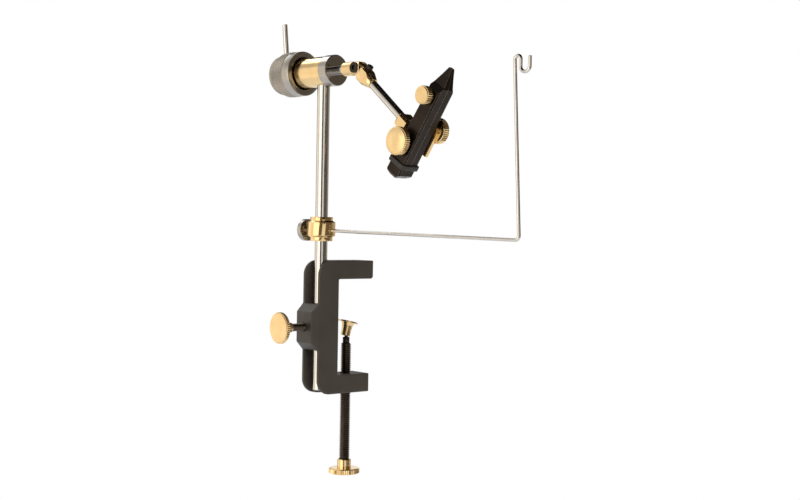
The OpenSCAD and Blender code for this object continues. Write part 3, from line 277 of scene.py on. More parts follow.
# %% [markdown]
# ## Lamps
# The key lamp stands to the right of the camera, where the photograph shows the brighter sides of paint and
# rubber. Mirror-like rays don't see it, because polished metal would show a square that isn't there. The
# back lamp is a strip above and behind the vise: its mirror image draws the light line along the tops of
# the barrel, the hub and the cradle's wire.

# %% Lamps
middle = Vector((post_x, 0, 60 * MM)) + right * 60 * MM


def soft_box(name, at, width, height, power):
    """A lamp that looks at the middle of the vise."""
    data = bpy.data.lights.new(name, "AREA")
    data.shape = "RECTANGLE"
    data.size = width
    data.size_y = height
    data.energy = power
    lamp = bpy.data.objects.new(name, data)
    lamp.location = at
    lamp.rotation_euler = (middle - at).to_track_quat("-Z", "Y").to_euler()
    bpy.context.scene.collection.objects.link(lamp)
    return lamp


key = soft_box("key", middle + right * 0.35 - away * 0.8 + UP * 0.5, width=0.7, height=0.7, power=9.8)
key.visible_glossy = False
back = soft_box("back", middle - right * 0.5 + away * 0.5 + UP * 0.67, width=0.5, height=0.22, power=0.75)
print("lamps:", key.name, "and", back.name)

# %% [markdown]
# ## Cards that stand for the room
# Polished metal shows what stands round it. The photographer had a bright soft box on the left, and the
# rest of the room was dark: above, to the right and behind the camera. Mirror images of that room draw the
# dark bands on the bars and darken the faces that look up or to the right. Where a bar's surface is turned
# from the camera by some angle, it mirrors what stands at twice that angle, so each band on the post says
# where a card must stand. Cards are seen by mirror-like rays alone, and they throw no shadow.

# %% Card helpers
def card_material(name, colour, strength=1.0):
    material, tree = new_material(name)
    glow = add(tree, "Emission", {"Color": linear(colour), "Strength": strength})
    add(tree, "OutputMaterial", {"Surface": glow.outputs[0]})
    return material


def stand_card(name, at, across, upward, width, height, material):
    corners = [at + across * (x * width / 2) + upward * (y * height / 2) for x, y in SQUARE]
    card = new_piece(name, corners, [(0, 1, 2, 3)], smooth=False)
    card.data.materials.append(material)
    card.visible_camera = False
    card.visible_diffuse = False
    card.visible_shadow = False
    card.visible_transmission = False


def around(angle, distance):
    """A place level with the middle, its angle counted from the camera, positive to the right."""
    swing = math.radians(angle)
    return middle + right * (math.sin(swing) * distance) - away * (math.cos(swing) * distance)


def wall(name, first, last, distance, low, high, material):
    """An upright card that fills the angles from first to last and the heights from low to high."""
    one = around(first, distance)
    two = around(last, distance)
    at = (one + two) / 2 + UP * (low + high) / 2
    stand_card(name, at, (two - one).normalized(), UP, (two - one).length, high - low, material)


print("a place 30 degrees right of the camera:", [round(part, 2) for part in around(30, 1.0)])

# %% [markdown]
# The ceiling is three cards, so that it ends where the mirror images of it end in the photograph. Two walls
# carry it down to the horizon: a dark one behind the camera, and a pale one on the side of the soft box.

# %% Ceiling
ceiling_height = 0.9
ceiling_middle = middle + UP * ceiling_height

dark_ceiling = card_material("dark_ceiling", "#1d1814")
pale_ceiling = card_material("pale_ceiling", "#d6cfc4")
stand_card("ceiling", ceiling_middle + right * 0.72 + away * 0.72, right, away,
           width=1.7, height=2.4, material=dark_ceiling)
stand_card("ceiling_front", ceiling_middle - right * 0.18 - away * 0.7, right, away,
           width=1.35, height=1.2, material=dark_ceiling)
stand_card("ceiling_edge", middle + right * 0.7 + away * 1.6 + UP * 0.85, right, UP,
           width=2.7, height=1.15, material=dark_ceiling)
wall("ceiling_low", -40, 50, 1.5, low=0.3, high=ceiling_height, material=dark_ceiling)
wall("ceiling_left", -135, -50, 1.35, low=0.5, high=1.5, material=pale_ceiling)
print("ceiling hangs", round(ceiling_height / MM), "mm over the middle of the vise")

# %% [markdown]
# The soft box is brighter toward the camera than at its side, as a lamp seen at a slant is. The gaps between
# the dark walls let the white surround through, which gives the light lines beside the dark bands.

# %% Soft box and walls
BOX_LIGHT = "#fff6e8"
box_front = card_material("soft_box_front", BOX_LIGHT, 2.2)
box_side = card_material("soft_box_side", BOX_LIGHT, 1.1)
box_back = card_material("soft_box_back", BOX_LIGHT, 1.3)
dark_room = card_material("dark_room", "#6f6457")
grey_room = card_material("grey_room", "#b4aea4")

# Each row: name, first and last angle in degrees, distance, low and high in metres, material.
walls = (
    ("soft_box_front", -66, -24, 1.0, -0.4, 0.38, box_front),
    ("soft_box_side", -93, -66, 1.0, -0.4, 0.38, box_side),
    ("soft_box_back", -125, -93, 1.0, -0.4, 0.38, box_back),
    ("room_left", -165, -122, 1.1, -0.5, 0.35, grey_room),
    ("photographer", -22, 3, 0.85, -0.6, 0.7, dark_room),
    ("room_right", 30, 104, 0.95, -0.6, 0.8, dark_room),
    ("room_behind_right", 104, 150, 1.0, -0.6, 0.5, grey_room),
)
for row in walls:
    wall(*row)
print(len(walls), "walls stand round the vise")

# %% [markdown]
# ## Lathe marks
# A lathe tool leaves fine rings: round a cylinder they follow one another along the axis, and on an end
# face they are circles about it. Distance along the axis plus distance from the axis gives one number that
# changes across both kinds of ring, so one-dimensional noise of that number draws them all.

# %% Lathe marks
END_FACE_FROM = 0.97
END_FACE_FULL = 0.995


def ring_place(tree, centre, axis):
    place = add(tree, "TexCoord")
    offset = add(tree, "VectorMath", {0: place.outputs["Object"], 1: centre}, operation="SUBTRACT")
    along = add(tree, "VectorMath", {0: offset.outputs[0], 1: axis}, operation="DOT_PRODUCT")
    across = add(tree, "VectorMath", {0: offset.outputs[0], 1: axis}, operation="CROSS_PRODUCT")
    out = add(tree, "VectorMath", {0: across.outputs[0]}, operation="LENGTH")
    return add(tree, "Math", {0: along.outputs["Value"], 1: out.outputs["Value"]}, operation="ADD").outputs[0]


def end_face(tree, axis):
    """1 where the surface is square to the axis, 0 elsewhere."""
    place = add(tree, "TexCoord")
    along = add(tree, "VectorMath", {0: place.outputs["Normal"], 1: axis}, operation="DOT_PRODUCT")
    size = add(tree, "Math", {0: along.outputs["Value"]}, operation="ABSOLUTE")
    return add(tree, "MapRange", {"Value": size.outputs[0], "From Min": END_FACE_FROM,
                                  "From Max": END_FACE_FULL}).outputs[0]


print("an end face lies within", round(math.degrees(math.acos(END_FACE_FROM))), "degrees of square")

# %% [markdown]
# ## Turned metal
# A facing cut across the axis leaves a smoother face than the cut along it, so flat ends are less rough and
# mirror the room more sharply. A finishing cut moves the tool by about 0.1 mm with each turn, which is too
# fine to show. The rings are drawn coarser, 0.25 mm wide, but that is a third of a pixel and they are
# shallow, so they hardly show, in a close view too. Handling leaves the metal a little darker and duller in
# patches of about 6 mm. Where a piece is knurled, its grooves get a painted shade: a value stored on its
# points darkens them, in place of the shade that falls in them.

# %% Turned metal
RING_WIDTH = 0.25 * MM
RING_DEPTH = 0.008 * MM
PATCH_SIZE = 6 * MM
FACED_SHARE = 0.55
# Painted shade: the colour that the knurl's grooves are darkened towards.
GROOVE_SHADE = "#9a9288"


def turned_metal(name, colour, dark_colour, roughness, centre, axis, line=RING_WIDTH, cut=RING_DEPTH,
                 grooves=None):
    """A metal with rings as wide as line and as deep as cut, whose colour drifts to dark_colour."""
    material, tree = new_material(name)
    rings = add(tree, "TexNoise", {"W": ring_place(tree, centre, axis), "Scale": 1 / line, "Detail": 2.0},
                noise_dimensions="1D")
    place = add(tree, "TexCoord")
    patches = add(tree, "TexNoise", {"Vector": place.outputs["Object"], "Scale": 1 / PATCH_SIZE,
                                     "Detail": 3.0})
    drift = add(tree, "MapRange", {"Value": patches.outputs["Fac"], "From Min": 0.35, "From Max": 0.75,
                                   "To Min": 0.0, "To Max": 0.5})
    tone = add(tree, "Mix", {"Factor": drift.outputs[0], 6: linear(colour), 7: linear(dark_colour)},
               data_type="RGBA")
    # Painted shade in the knurl's grooves, as deep as the depth stored on the points.
    if grooves:
        groove_shade = add(tree, "Attribute", attribute_name=grooves)
        tone = add(tree, "Mix", {"Factor": groove_shade.outputs["Fac"], 6: tone.outputs[2], 7: linear(GROOVE_SHADE)},
                   data_type="RGBA")
    worn = add(tree, "MapRange", {"Value": patches.outputs["Fac"], "To Min": roughness * 0.85,
                                  "To Max": roughness * 1.2})
    faced = add(tree, "MapRange", {"Value": end_face(tree, axis), "To Min": 1.0, "To Max": FACED_SHARE})
    rough = add(tree, "Math", {0: worn.outputs[0], 1: faced.outputs[0]}, operation="MULTIPLY")
    relief = add(tree, "Bump", {"Height": rings.outputs["Fac"], "Distance": cut, "Strength": 0.4})
    shader = add(tree, "BsdfPrincipled", {"Base Color": tone.outputs[2], "Metallic": 1.0,
                                          "Roughness": rough.outputs[0], "Normal": relief.outputs[0]})
    add(tree, "OutputMaterial", {"Surface": shader.outputs[0]})
    return material


print("lathe rings are drawn", round(RING_WIDTH / pixel, 2), "pixels wide")

# %% [markdown]
# ## Brass
# The barrel, the hub, the elbow and most knobs are free-cutting brass, left as it came from the lathe and
# lightly satin. Its red and green reflect strongly and its blue weakly, which the eye reads as warm gold.
# The collar of the cradle, the cam and the lever are buffed: finer marks, so they mirror more sharply.

# %% Brass
SATIN_BRASS, SATIN_BRASS_DARK = "#eacd9a", "#d9b681"
BUFFED_BRASS, BUFFED_BRASS_DARK = "#edd09c", "#dcb470"
BUFFED_DEPTH = 0.005 * MM


def satin_brass(name, centre, axis, roughness=0.3):
    return turned_metal(name, SATIN_BRASS, SATIN_BRASS_DARK, roughness, centre, axis)


def buffed_brass(name, centre, axis, roughness=0.16):
    return turned_metal(name, BUFFED_BRASS, BUFFED_BRASS_DARK, roughness, centre, axis, cut=BUFFED_DEPTH)


print("brass reflects red, green and blue by", [round(part, 2) for part in linear(SATIN_BRASS)[:3]])

# %% [markdown]
# ## Bearing bronze
# The bushes in the barrel are sintered bronze soaked with oil. Tin and oil make it browner than brass, and
# its open grain spreads the light. Both bushes lie on the head's axis, so they share one material.

# %% Bearing bronze
bearing_bronze = turned_metal("oiled_bronze", "#b27c46", "#8f5f31", 0.35, head_at, head_axis)
print("material:", bearing_bronze.name)

# %% [markdown]
# ## Steel
# The post, the arm rod, the crank and the cradle's wire are ground and polished bar: nearly a mirror, with
# the faintest rings. The rear knob and the front collar are turned and left satin, so their light spreads.

# %% Steel
POLISHED_STEEL, POLISHED_STEEL_DARK = "#cfccc8", "#bdb8b2"
SATIN_STEEL, SATIN_STEEL_DARK = "#b3afa9", "#9d9790"
POLISHED_DEPTH = 0.003 * MM
SATIN_RING_WIDTH = 0.3 * MM


def polished_steel(name, centre, axis, roughness=0.13):
    return turned_metal(name, POLISHED_STEEL, POLISHED_STEEL_DARK, roughness, centre, axis,
                        cut=POLISHED_DEPTH)


def satin_steel(name, centre, axis, roughness=0.3, grooves=None):
    return turned_metal(name, SATIN_STEEL, SATIN_STEEL_DARK, roughness, centre, axis,
                        line=SATIN_RING_WIDTH, grooves=grooves)


print("steel reflects red, green and blue by", [round(part, 2) for part in linear(POLISHED_STEEL)[:3]])

# %% [markdown]
# ## Blackened steel
# Screws and jaws are steel with a black oxide skin: a thin, slightly oily layer that is dark but still
# metallic. It wears through first on edges, where bare steel shows as a thin light line, most clearly
# where the two jaw halves meet. Here that light line is partly this wear and partly a painted highlight,
# for the light that a rounded edge would catch. The Bevel node's normal turns away from the true one near
# an edge alone, so the angle between the two says where the line is painted. The real grain of the oxide
# is far finer than a pixel. It is drawn about one millimetre wide, and even so it hardly shows in this
# picture.

# %% Blackened steel
OXIDE_BROWN = "#372f28"
# Edge colour: bare steel where the oxide wears, with a painted highlight on the same edges.
WORN_STEEL_AND_EDGE_HIGHLIGHT = "#978b7f"
OXIDE_PATCH = 9 * MM


def edge_wear_and_highlight(tree, radius):
    """1 on edges, fading to 0 at the radius."""
    softened = add(tree, "Bevel", {"Radius": radius}, samples=4)
    shape = add(tree, "NewGeometry")
    match = add(tree, "VectorMath", {0: softened.outputs[0], 1: shape.outputs["True Normal"]},
                operation="DOT_PRODUCT")
    bright_edge = add(tree, "MapRange", {"Value": match.outputs["Value"], "From Min": 0.99, "From Max": 0.88})
    return bright_edge.outputs[0]


def black_oxide(name, colour, roughness, grain=1.2 * MM, depth=0.01 * MM, metallic=0.75, bright_edge=0.0):
    """Blackened steel, a little browner in patches, with a light edge line as wide as the last argument:
    partly worn steel, partly a painted highlight.
    """
    material, tree = new_material(name)
    place = add(tree, "TexCoord")
    fine = add(tree, "TexNoise", {"Vector": place.outputs["Object"], "Scale": 1 / grain, "Detail": 4.0})
    broad = add(tree, "TexNoise", {"Vector": place.outputs["Object"], "Scale": 1 / OXIDE_PATCH,
                                   "Detail": 2.0})
    tone = add(tree, "Mix", {"Factor": broad.outputs["Fac"], 6: linear(colour), 7: linear(OXIDE_BROWN)},
               data_type="RGBA")
    # Painted highlight and wear: near edges the colour turns to light steel.
    if bright_edge:
        tone = add(tree, "Mix", {"Factor": edge_wear_and_highlight(tree, bright_edge), 6: tone.outputs[2], 7: linear(WORN_STEEL_AND_EDGE_HIGHLIGHT)},
                   data_type="RGBA")
    rough = add(tree, "MapRange", {"Value": fine.outputs["Fac"], "To Min": roughness * 0.8,
                                   "To Max": roughness * 1.25})
    relief = add(tree, "Bump", {"Height": fine.outputs["Fac"], "Distance": depth, "Strength": 0.5})
    shader = add(tree, "BsdfPrincipled", {"Base Color": tone.outputs[2], "Metallic": metallic,
                                          "Roughness": rough.outputs[0], "Normal": relief.outputs[0]})
    add(tree, "OutputMaterial", {"Surface": shader.outputs[0]})
    return material


print("oxide turns browner in patches of", round(OXIDE_PATCH / MM), "mm")

# %% [markdown]
# Three finishes come from it. Small screws are plain. The jaws are finer, darker and glossier, with worn
# edges that also carry a painted highlight. Rolled threads are rubbed bright all over, so theirs is fully
# metallic and lighter.

# %% Finishes of blackened steel
screw_black = black_oxide("black_oxide_screw", "#2a241f", 0.34)
jaw_black = black_oxide("black_oxide_jaw", "#1b1613", 0.27, grain=0.8 * MM, metallic=0.9, bright_edge=0.3 * MM)
thread_black = black_oxide("black_oxide_thread", "#5d5247", 0.28, metallic=1.0)
print("materials:", screw_black.name, jaw_black.name, thread_black.name)

# %% [markdown]
# ## Painted cast iron
# The clamp is cast iron under a thin satin black paint. The paint follows the small bumps that the sand of
# the mould left, so seen close a casting looks slightly pebbled. Grains of foundry sand are about 0.3 mm,
# and the bumps are drawn 0.7 mm wide, about one pixel. They are low, so they hardly show in this picture.

# %% Painted cast iron
SAND_GRAIN = 0.7 * MM
CAST_PATCH = 14 * MM

cast_iron_paint, tree = new_material("painted_cast_iron")
place = add(tree, "TexCoord")
sand = add(tree, "TexNoise", {"Vector": place.outputs["Object"], "Scale": 1 / SAND_GRAIN, "Detail": 3.0})
broad = add(tree, "TexNoise", {"Vector": place.outputs["Object"], "Scale": 1 / CAST_PATCH, "Detail": 2.0})
tone = add(tree, "Mix", {"Factor": broad.outputs["Fac"], 6: linear("#322d27"), 7: linear("#413a33")},
           data_type="RGBA")
rough = add(tree, "MapRange", {"Value": sand.outputs["Fac"], "To Min": 0.42, "To Max": 0.62})
relief = add(tree, "Bump", {"Height": sand.outputs["Fac"], "Distance": 0.08 * MM, "Strength": 0.55})
shader = add(tree, "BsdfPrincipled", {"Base Color": tone.outputs[2], "Roughness": rough.outputs[0],
                                      "Normal": relief.outputs[0], "Coat Weight": 0.15,
                                      "Coat Roughness": 0.3})
add(tree, "OutputMaterial", {"Surface": shader.outputs[0]})
print("material:", cast_iron_paint.name)

# %% [markdown]
# ## Rubber
# The band round the jaws' feet is moulded black rubber. It scatters light softly and hardly mirrors. A grey
# bloom drifts over it in patches of a few millimetres.

# %% Rubber
BLOOM_PATCH = 2.5 * MM

band_rubber, tree = new_material("black_rubber")
place = add(tree, "TexCoord")
bloom = add(tree, "TexNoise", {"Vector": place.outputs["Object"], "Scale": 1 / BLOOM_PATCH, "Detail": 3.0})
tone = add(tree, "Mix", {"Factor": bloom.outputs["Fac"], 6: linear("#1f1c1a"), 7: linear("#332e2a")},
           data_type="RGBA")
relief = add(tree, "Bump", {"Height": bloom.outputs["Fac"], "Distance": 0.05 * MM, "Strength": 0.4})
shader = add(tree, "BsdfPrincipled", {"Base Color": tone.outputs[2], "Roughness": 0.55,
                                      "Normal": relief.outputs[0]})
add(tree, "OutputMaterial", {"Surface": shader.outputs[0]})
print("material:", band_rubber.name)

# %% [markdown]
# ## Dressing the brass pieces
# Each CAD piece keeps its mesh and gets its finish. A turned piece needs to know its axis, so the table
# gives each piece a finish with a place on the axis that it was turned about and the axis itself. A number
# after them is the piece's own roughness: 0.12 for the buffed collar, and up to 0.4 for a dull knob.

# %% Finishes of the brass pieces
finish_of = {
    "post_shoe": satin_brass("brass_shoe", thumb_screw_at, THROAT),
    "post_screw_knob": satin_brass("brass_thumb_knob", thumb_screw_at, THROAT, 0.36),
    "clamp_knob": buffed_brass("brass_clamp_knob", clamp_screw_at, UP),
    "swivel_pad": satin_brass("brass_pad", pad_at, pad_axis, 0.26),
    "cradle_collar": buffed_brass("brass_collar", head_at, UP, 0.12),
    "head_barrel": satin_brass("brass_barrel", head_at, head_axis, 0.17),
    "hub": satin_brass("brass_hub", head_at, head_axis, 0.3),
    "elbow": satin_brass("brass_elbow", elbow_at, arm_axis, 0.2),
    "knuckle": satin_brass("brass_knuckle", elbow_at, arm_axis, 0.2),
    "lock_washer": satin_brass("brass_lock_washer", jaw_pivot_at, side_axis),
    "lock_knob": satin_brass("brass_lock_knob", jaw_pivot_at, side_axis, 0.4),
    "adjust_knob": satin_brass("brass_adjust_knob", adjuster_at, side_axis, 0.34),
    "cam_washer": satin_brass("brass_cam_washer", cam_at, side_axis),
    "cam_disc": buffed_brass("brass_cam_disc", cam_at, side_axis, 0.2),
    "cam_lever": buffed_brass("brass_cam_lever", cam_at, jaw_axis, 0.32),
    "front_bush": bearing_bronze,
    "rear_bush": bearing_bronze,
}
print("brass and bronze:", len(finish_of), "pieces")

# %% [markdown]
# ## Dressing the steel pieces
# Bars are polished and pins are satin. The small screws, the ball and the thin washers are all black.

# %% Finishes of the steel pieces
finish_of.update({
    "post": polished_steel("steel_post", head_at, UP),
    "arm_rod": polished_steel("steel_arm_rod", elbow_at, arm_axis),
    "crank_rod": polished_steel("steel_crank_rod", head_at, UP),
    "spindle": polished_steel("steel_spindle", head_at, head_axis, 0.16),
    "front_collar": satin_steel("steel_front_collar", head_at, head_axis, 0.24),
    "cradle_knob": satin_steel("steel_cradle_knob", head_at, head_axis, 0.3),
    "cradle_screw": satin_steel("steel_cradle_screw", head_at, head_axis),
    "knob_pin": satin_steel("steel_knob_pin", clamp_screw_at, Vector((0, 1, 0))),
    "lock_stud": satin_steel("steel_lock_stud", jaw_pivot_at, side_axis),
    "adjust_screw": satin_steel("steel_adjust_screw", adjuster_at, side_axis),
    "cam_shaft": satin_steel("steel_cam_shaft", cam_at, side_axis),
    "rocker_pin": satin_steel("steel_rocker_pin", band_at, jaw_front),
    "jaw_spring": satin_steel("steel_spring", adjuster_at, side_axis),
    "near_jaw": jaw_black,
    "far_jaw": jaw_black,
})
for node in ("head_set_screw", "collar_set_screw", "knob_set_screw", "crank_screw", "pivot_screw",
             "elbow_set_screw", "knuckle_set_screw", "swivel_ball", "front_washer", "rear_washer"):
    finish_of[node] = screw_black

for node, material in finish_of.items():
    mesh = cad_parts[node].data
    mesh.materials.clear()
    mesh.materials.append(material)
print("dressed", len(finish_of), "CAD pieces")

# %% [markdown]
# ## Edges that catch the light
# No real edge is a perfect knife edge. A weld joins the CAD mesh's split corners, and a small bevel then
# rounds each sharp edge, so that it draws a thin bright line. Four brass pieces get it here, widest on the
# lever, whose edges the photograph shows round. The jaws' edges are not rounded: their bright line is a
# painted highlight in their finish.

# %% Rounded edges
SAME_PLACE = 0.0005 * MM
SHARP_FROM = math.radians(32)


def add_weld(piece):
    weld = piece.modifiers.new("weld", "WELD")
    weld.merge_threshold = SAME_PLACE


def round_edges(node, width, segments):
    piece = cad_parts[node]
    add_weld(piece)
    bevel = piece.modifiers.new("bevel", "BEVEL")
    bevel.width = width
    bevel.segments = segments
    bevel.limit_method = "ANGLE"
    bevel.angle_limit = SHARP_FROM
    bevel.harden_normals = True
    bevel.use_clamp_overlap = True


# Each row: piece, width of the bevel and its number of segments.
for node, width, segments in (("cradle_collar", 0.25 * MM, 2), ("knuckle", 0.3 * MM, 2),
                              ("elbow", 0.35 * MM, 3), ("cam_lever", 1.0 * MM, 4)):
    round_edges(node, width, segments)
    print("edges of", node, "rounded by", round(width / MM, 2), "mm")

# %% [markdown]
# ## The casting
# A sand casting has soft edges and a slightly uneven skin. The CAD body is copied and remeshed in small
# cubes of half a millimetre, then relaxed, which rounds every edge by about that much, as foundry work does.
# Its bores come out a hair narrower by that, and the CAD solid keeps the true ones.

# %% Clamp casting
CASTING_CUBE = 0.5 * MM
CASTING_ROUNDS = 4

casting = bpy.data.objects.new("clamp_casting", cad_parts["clamp_frame"].data.copy())
bpy.context.scene.collection.objects.link(casting)
add_weld(casting)
remesh = casting.modifiers.new("remesh", "REMESH")
remesh.mode = "VOXEL"
remesh.voxel_size = CASTING_CUBE
relax = casting.modifiers.new("relax", "SMOOTH")
relax.factor = 0.5
relax.iterations = CASTING_ROUNDS
settled = casting.evaluated_get(bpy.context.evaluated_depsgraph_get())
casting_mesh = bpy.data.meshes.new_from_object(settled)
casting.modifiers.clear()
casting.data = casting_mesh
casting_mesh.shade_smooth()

casting_mesh.materials.clear()
casting_mesh.materials.append(cast_iron_paint)
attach(casting, "clamp")
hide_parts("clamp_frame")
print("casting has", len(casting_mesh.polygons), "faces")

# %% [markdown]
# ## Screw threads
# A thread is one ridge that winds round a bar. The mesh below follows it: each column of points turns a
# little further and climbs by the same share of the pitch, so the crest stays on one line of vertices and
# winds up the screw without a break. One turn is four rows: root, crest, crest and root again. Points past
# the thread's ends are held at the end planes, and a bevel takes the sharp start off.

# %% Thread points
THREAD_DEPTH_SHARE = 0.55
THREAD_ROWS = ((0.0, 1.0), (0.3, 0.0), (0.5, 0.0), (0.8, 1.0))


def thread_points(start, axis, length, radius, pitch, columns, bevel):
    """Points of a right-hand thread, row by row. Each row goes once round, climbing by one pitch."""
    first = axis.orthogonal().normalized()
    second = axis.cross(first)
    points = []
    for turn in range(int(length / pitch) + 2):
        for share, drop in THREAD_ROWS:
            for column in range(columns):
                swing = 2 * math.pi * column / columns
                height = (turn - 1 + share + column / columns) * pitch
                held = min(max(height, 0.0), length)
                end_gap = min(held, length - held)
                r = min(radius - THREAD_DEPTH_SHARE * pitch * drop, radius - bevel + end_gap)
                out = first * math.cos(swing) + second * math.sin(swing)
                points.append(start + axis * held + out * r)
    return points


print("one turn of a thread is", len(THREAD_ROWS), "rows of points")

# %% [markdown]
# ## Thread of the clamp screw
# The faces join each row to the next. At the seam a row meets the row one turn higher, four rows on. Then
# points that were held at the same place are merged, and the two ends, still open, are filled. The clamp
# screw is the first to get its thread, with 18 turns to the inch.

# %% Clamp screw thread
THREAD_MERGE = 0.002 * MM
THREAD_SLIVER = 0.001 * MM


def threaded_bar(name, start, axis, length, radius, pitch, columns=36, bevel=0.5 * MM):
    """A right-hand thread from start along axis, closed at both ends."""
    points = thread_points(start, axis, length, radius, pitch, columns, bevel)
    rows = len(points) // columns
    step = len(THREAD_ROWS)
    faces = []
    for row in range(rows - 1):
        for column in range(columns - 1):
            a = row * columns + column
            faces.append((a, a + 1, a + columns + 1, a + columns))
    for row in range(rows - 1 - step):
        a = row * columns + columns - 1
        b = (row + step) * columns
        faces.append((a, b, b + columns, a + columns))
    piece = new_piece(name, points, faces)
    bm = bmesh.new()
    bm.from_mesh(piece.data)
    bmesh.ops.remove_doubles(bm, verts=bm.verts, dist=THREAD_MERGE)
    bmesh.ops.dissolve_degenerate(bm, edges=bm.edges, dist=THREAD_SLIVER)
    bmesh.ops.holes_fill(bm, edges=[e for e in bm.edges if e.is_boundary], sides=0)
    bmesh.ops.recalc_face_normals(bm, faces=bm.faces)
    bm.to_mesh(piece.data)
    bm.free()
    piece.data.shade_smooth()
    return piece


screw_low, screw_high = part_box("clamp_screw")
thread_top = -48.9 * MM
thread_start = Vector((clamp_screw_at.x, 0, screw_low.z))
clamp_thread = threaded_bar("clamp_screw_thread", thread_start, UP, length=thread_top - screw_low.z,
                            radius=3.97 * MM, pitch=1.411 * MM)
print("clamp screw thread has", len(clamp_thread.data.polygons), "faces")

# %% [markdown]
# ## Neck of the clamp screw
# A plain neck goes from the thread up to the pad. It is turned, so three rings describe it: two at the full
# radius, and a smaller one for the bevel at its top. The lowest ring lies a little inside the thread.

# %% Clamp screw neck
neck_radius = 2.6 * MM
neck_bevel = 0.3 * MM
neck_sides = 48
neck_rings = (
    (thread_top - 0.6 * MM, neck_radius),
    (screw_high.z - neck_bevel, neck_radius),
    (screw_high.z, neck_radius - neck_bevel),
)
neck_first = UP.orthogonal().normalized()
neck_points = []
for height, radius in neck_rings:
    neck_points += round_ring(clamp_screw_at + UP * height, neck_first, UP.cross(neck_first), radius,
                              neck_sides)
neck = new_piece("clamp_screw_neck", neck_points,
                 ring_faces(len(neck_rings), neck_sides) + end_caps(len(neck_rings), neck_sides))
face_outwards(neck)

clamp_thread.data.materials.append(thread_black)
neck.data.materials.append(screw_black)
for piece in (clamp_thread, neck):
    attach(piece, "clamp_screw")
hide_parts("clamp_screw")
print("clamp screw neck has", len(neck.data.polygons), "faces")

# %% [markdown]
# ## Thumb screw
# The thumb screw that locks the post is threaded all along, with 20 threads to the inch.

# %% Thumb screw
thumb_low, thumb_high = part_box("post_screw")
thumb_start = Vector((thumb_high.x, 0, thumb_screw_at.z))
thumb_thread = threaded_bar("post_screw_thread", thumb_start, -THROAT, length=thumb_high.x - thumb_low.x,
                            radius=2.85 * MM, pitch=1.27 * MM, bevel=0.4 * MM)
thumb_thread.data.materials.append(thread_black)
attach(thumb_thread, "thumb_screw")
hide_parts("post_screw")
print("thumb screw thread has", len(thumb_thread.data.polygons), "faces")

# %% [markdown]
# ## Knurling
# Knurling presses a crossed pattern of small diamonds into a knob, so that fingers grip it. Two sets of
# helical grooves cross at 60 degrees. On a grid of points round the knob, the height of each point is the
# smaller of its distances to the two nearest grooves.

# %% Knurling
KNURL_PITCH = 1.6 * MM
KNURL_DEPTH = 0.5 * MM
KNURL_PARTS = 12
RIM_RADIUS = 17.1 * MM
KNURL_TEETH = round(2 * math.pi * RIM_RADIUS / KNURL_PITCH)
ROW_STEP = KNURL_PITCH * math.sqrt(3) / KNURL_PARTS


def diamond(swing_length, place):
    """Height from 0 in a groove to 1 on a diamond's tip, for a length round the knob and one along it."""
    slant = place / math.sqrt(3)
    u = ((swing_length + slant) / KNURL_PITCH) % 1
    v = ((swing_length - slant) / KNURL_PITCH) % 1
    return 2 * min(u, 1 - u, v, 1 - v)


def knurled_rows(start, length, radius):
    """Rows of full knurl depth from start backwards, one for each step of the diamond grid."""
    return [(start - row * ROW_STEP, radius, 1) for row in range(round(length / ROW_STEP) + 1)]


print("knurl has", KNURL_TEETH, "diamonds round the rim")

# %% [markdown]
# ## Outline of the rear knob
# The knob is a solid of revolution about the spindle. From the bore its outline goes over the recess that
# takes the barrel's end, round the plain ring, over the knurled rim, down the step to the knurled boss, and
# round the boss's soft back, where the knurl fades out.

# %% Outline of the rear knob
def rear_knob_outline():
    """Points of place on the axis, radius and share of the knurl's depth."""
    front, step, back = -21.7 * MM, -38.7 * MM, -48 * MM
    floor_place, bore, recess = -30.6 * MM, 4.02 * MM, 12.3 * MM
    recess_fillet, mouth = 0.6 * MM, 0.4 * MM
    rim_back, ring_drop = -29.5 * MM, 0.35 * MM
    boss, rounding, flat_inset = 15.2 * MM, 4.5 * MM, 3 * MM
    boss_front, boss_back = step - 0.2 * MM, back + rounding
    round_parts, fade_parts = 8, 3

    outline = [(back + rounding / 2, bore, 0), (floor_place, bore, 0)]
    # The recess, with a fillet at its floor and a broken edge at its mouth.
    outline += [(floor_place, recess - recess_fillet, 0), (floor_place + recess_fillet, recess, 0)]
    outline += [(front - mouth, recess, 0), (front, recess + mouth, 0)]
    # The plain ring, its front edge rounded in three steps and its back edge bevelled.
    outline += [(front, RIM_RADIUS - 0.95 * MM, 0), (front - 0.15 * MM, RIM_RADIUS - 0.55 * MM, 0)]
    outline += [(front - 0.5 * MM, RIM_RADIUS - ring_drop, 0)]
    outline += [(rim_back + ring_drop, RIM_RADIUS - ring_drop, 0), (rim_back, RIM_RADIUS - 2 * ring_drop, 0)]
    # The knurled rim, its bevelled back edge, and the step down to the knurled boss.
    outline += knurled_rows(rim_back - 0.3 * MM, rim_back - step - 0.8 * MM, RIM_RADIUS)
    outline += [(step, RIM_RADIUS - 0.9 * MM, 0), (step, boss, 0)]
    outline += knurled_rows(boss_front, boss_front - boss_back, boss)
    # The boss's rounded back edge.
    for part in range(1, round_parts + 1):
        swing = math.radians(90 * part / round_parts)
        fade = max(0.0, 1 - part / fade_parts)
        outline.append((boss_back - rounding * math.sin(swing),
                        boss - rounding + rounding * math.cos(swing), fade))
    return outline + [(back, boss - rounding - flat_inset, 0)]


print("outline of the rear knob has", len(rear_knob_outline()), "points")

# %% [markdown]
# ## Rear knob
# Each point of the outline becomes a ring of points, and the diamonds sink each point by its depth in a
# groove. The same depth is stored on the points as the value that the steel's material reads as painted
# shade in the grooves.

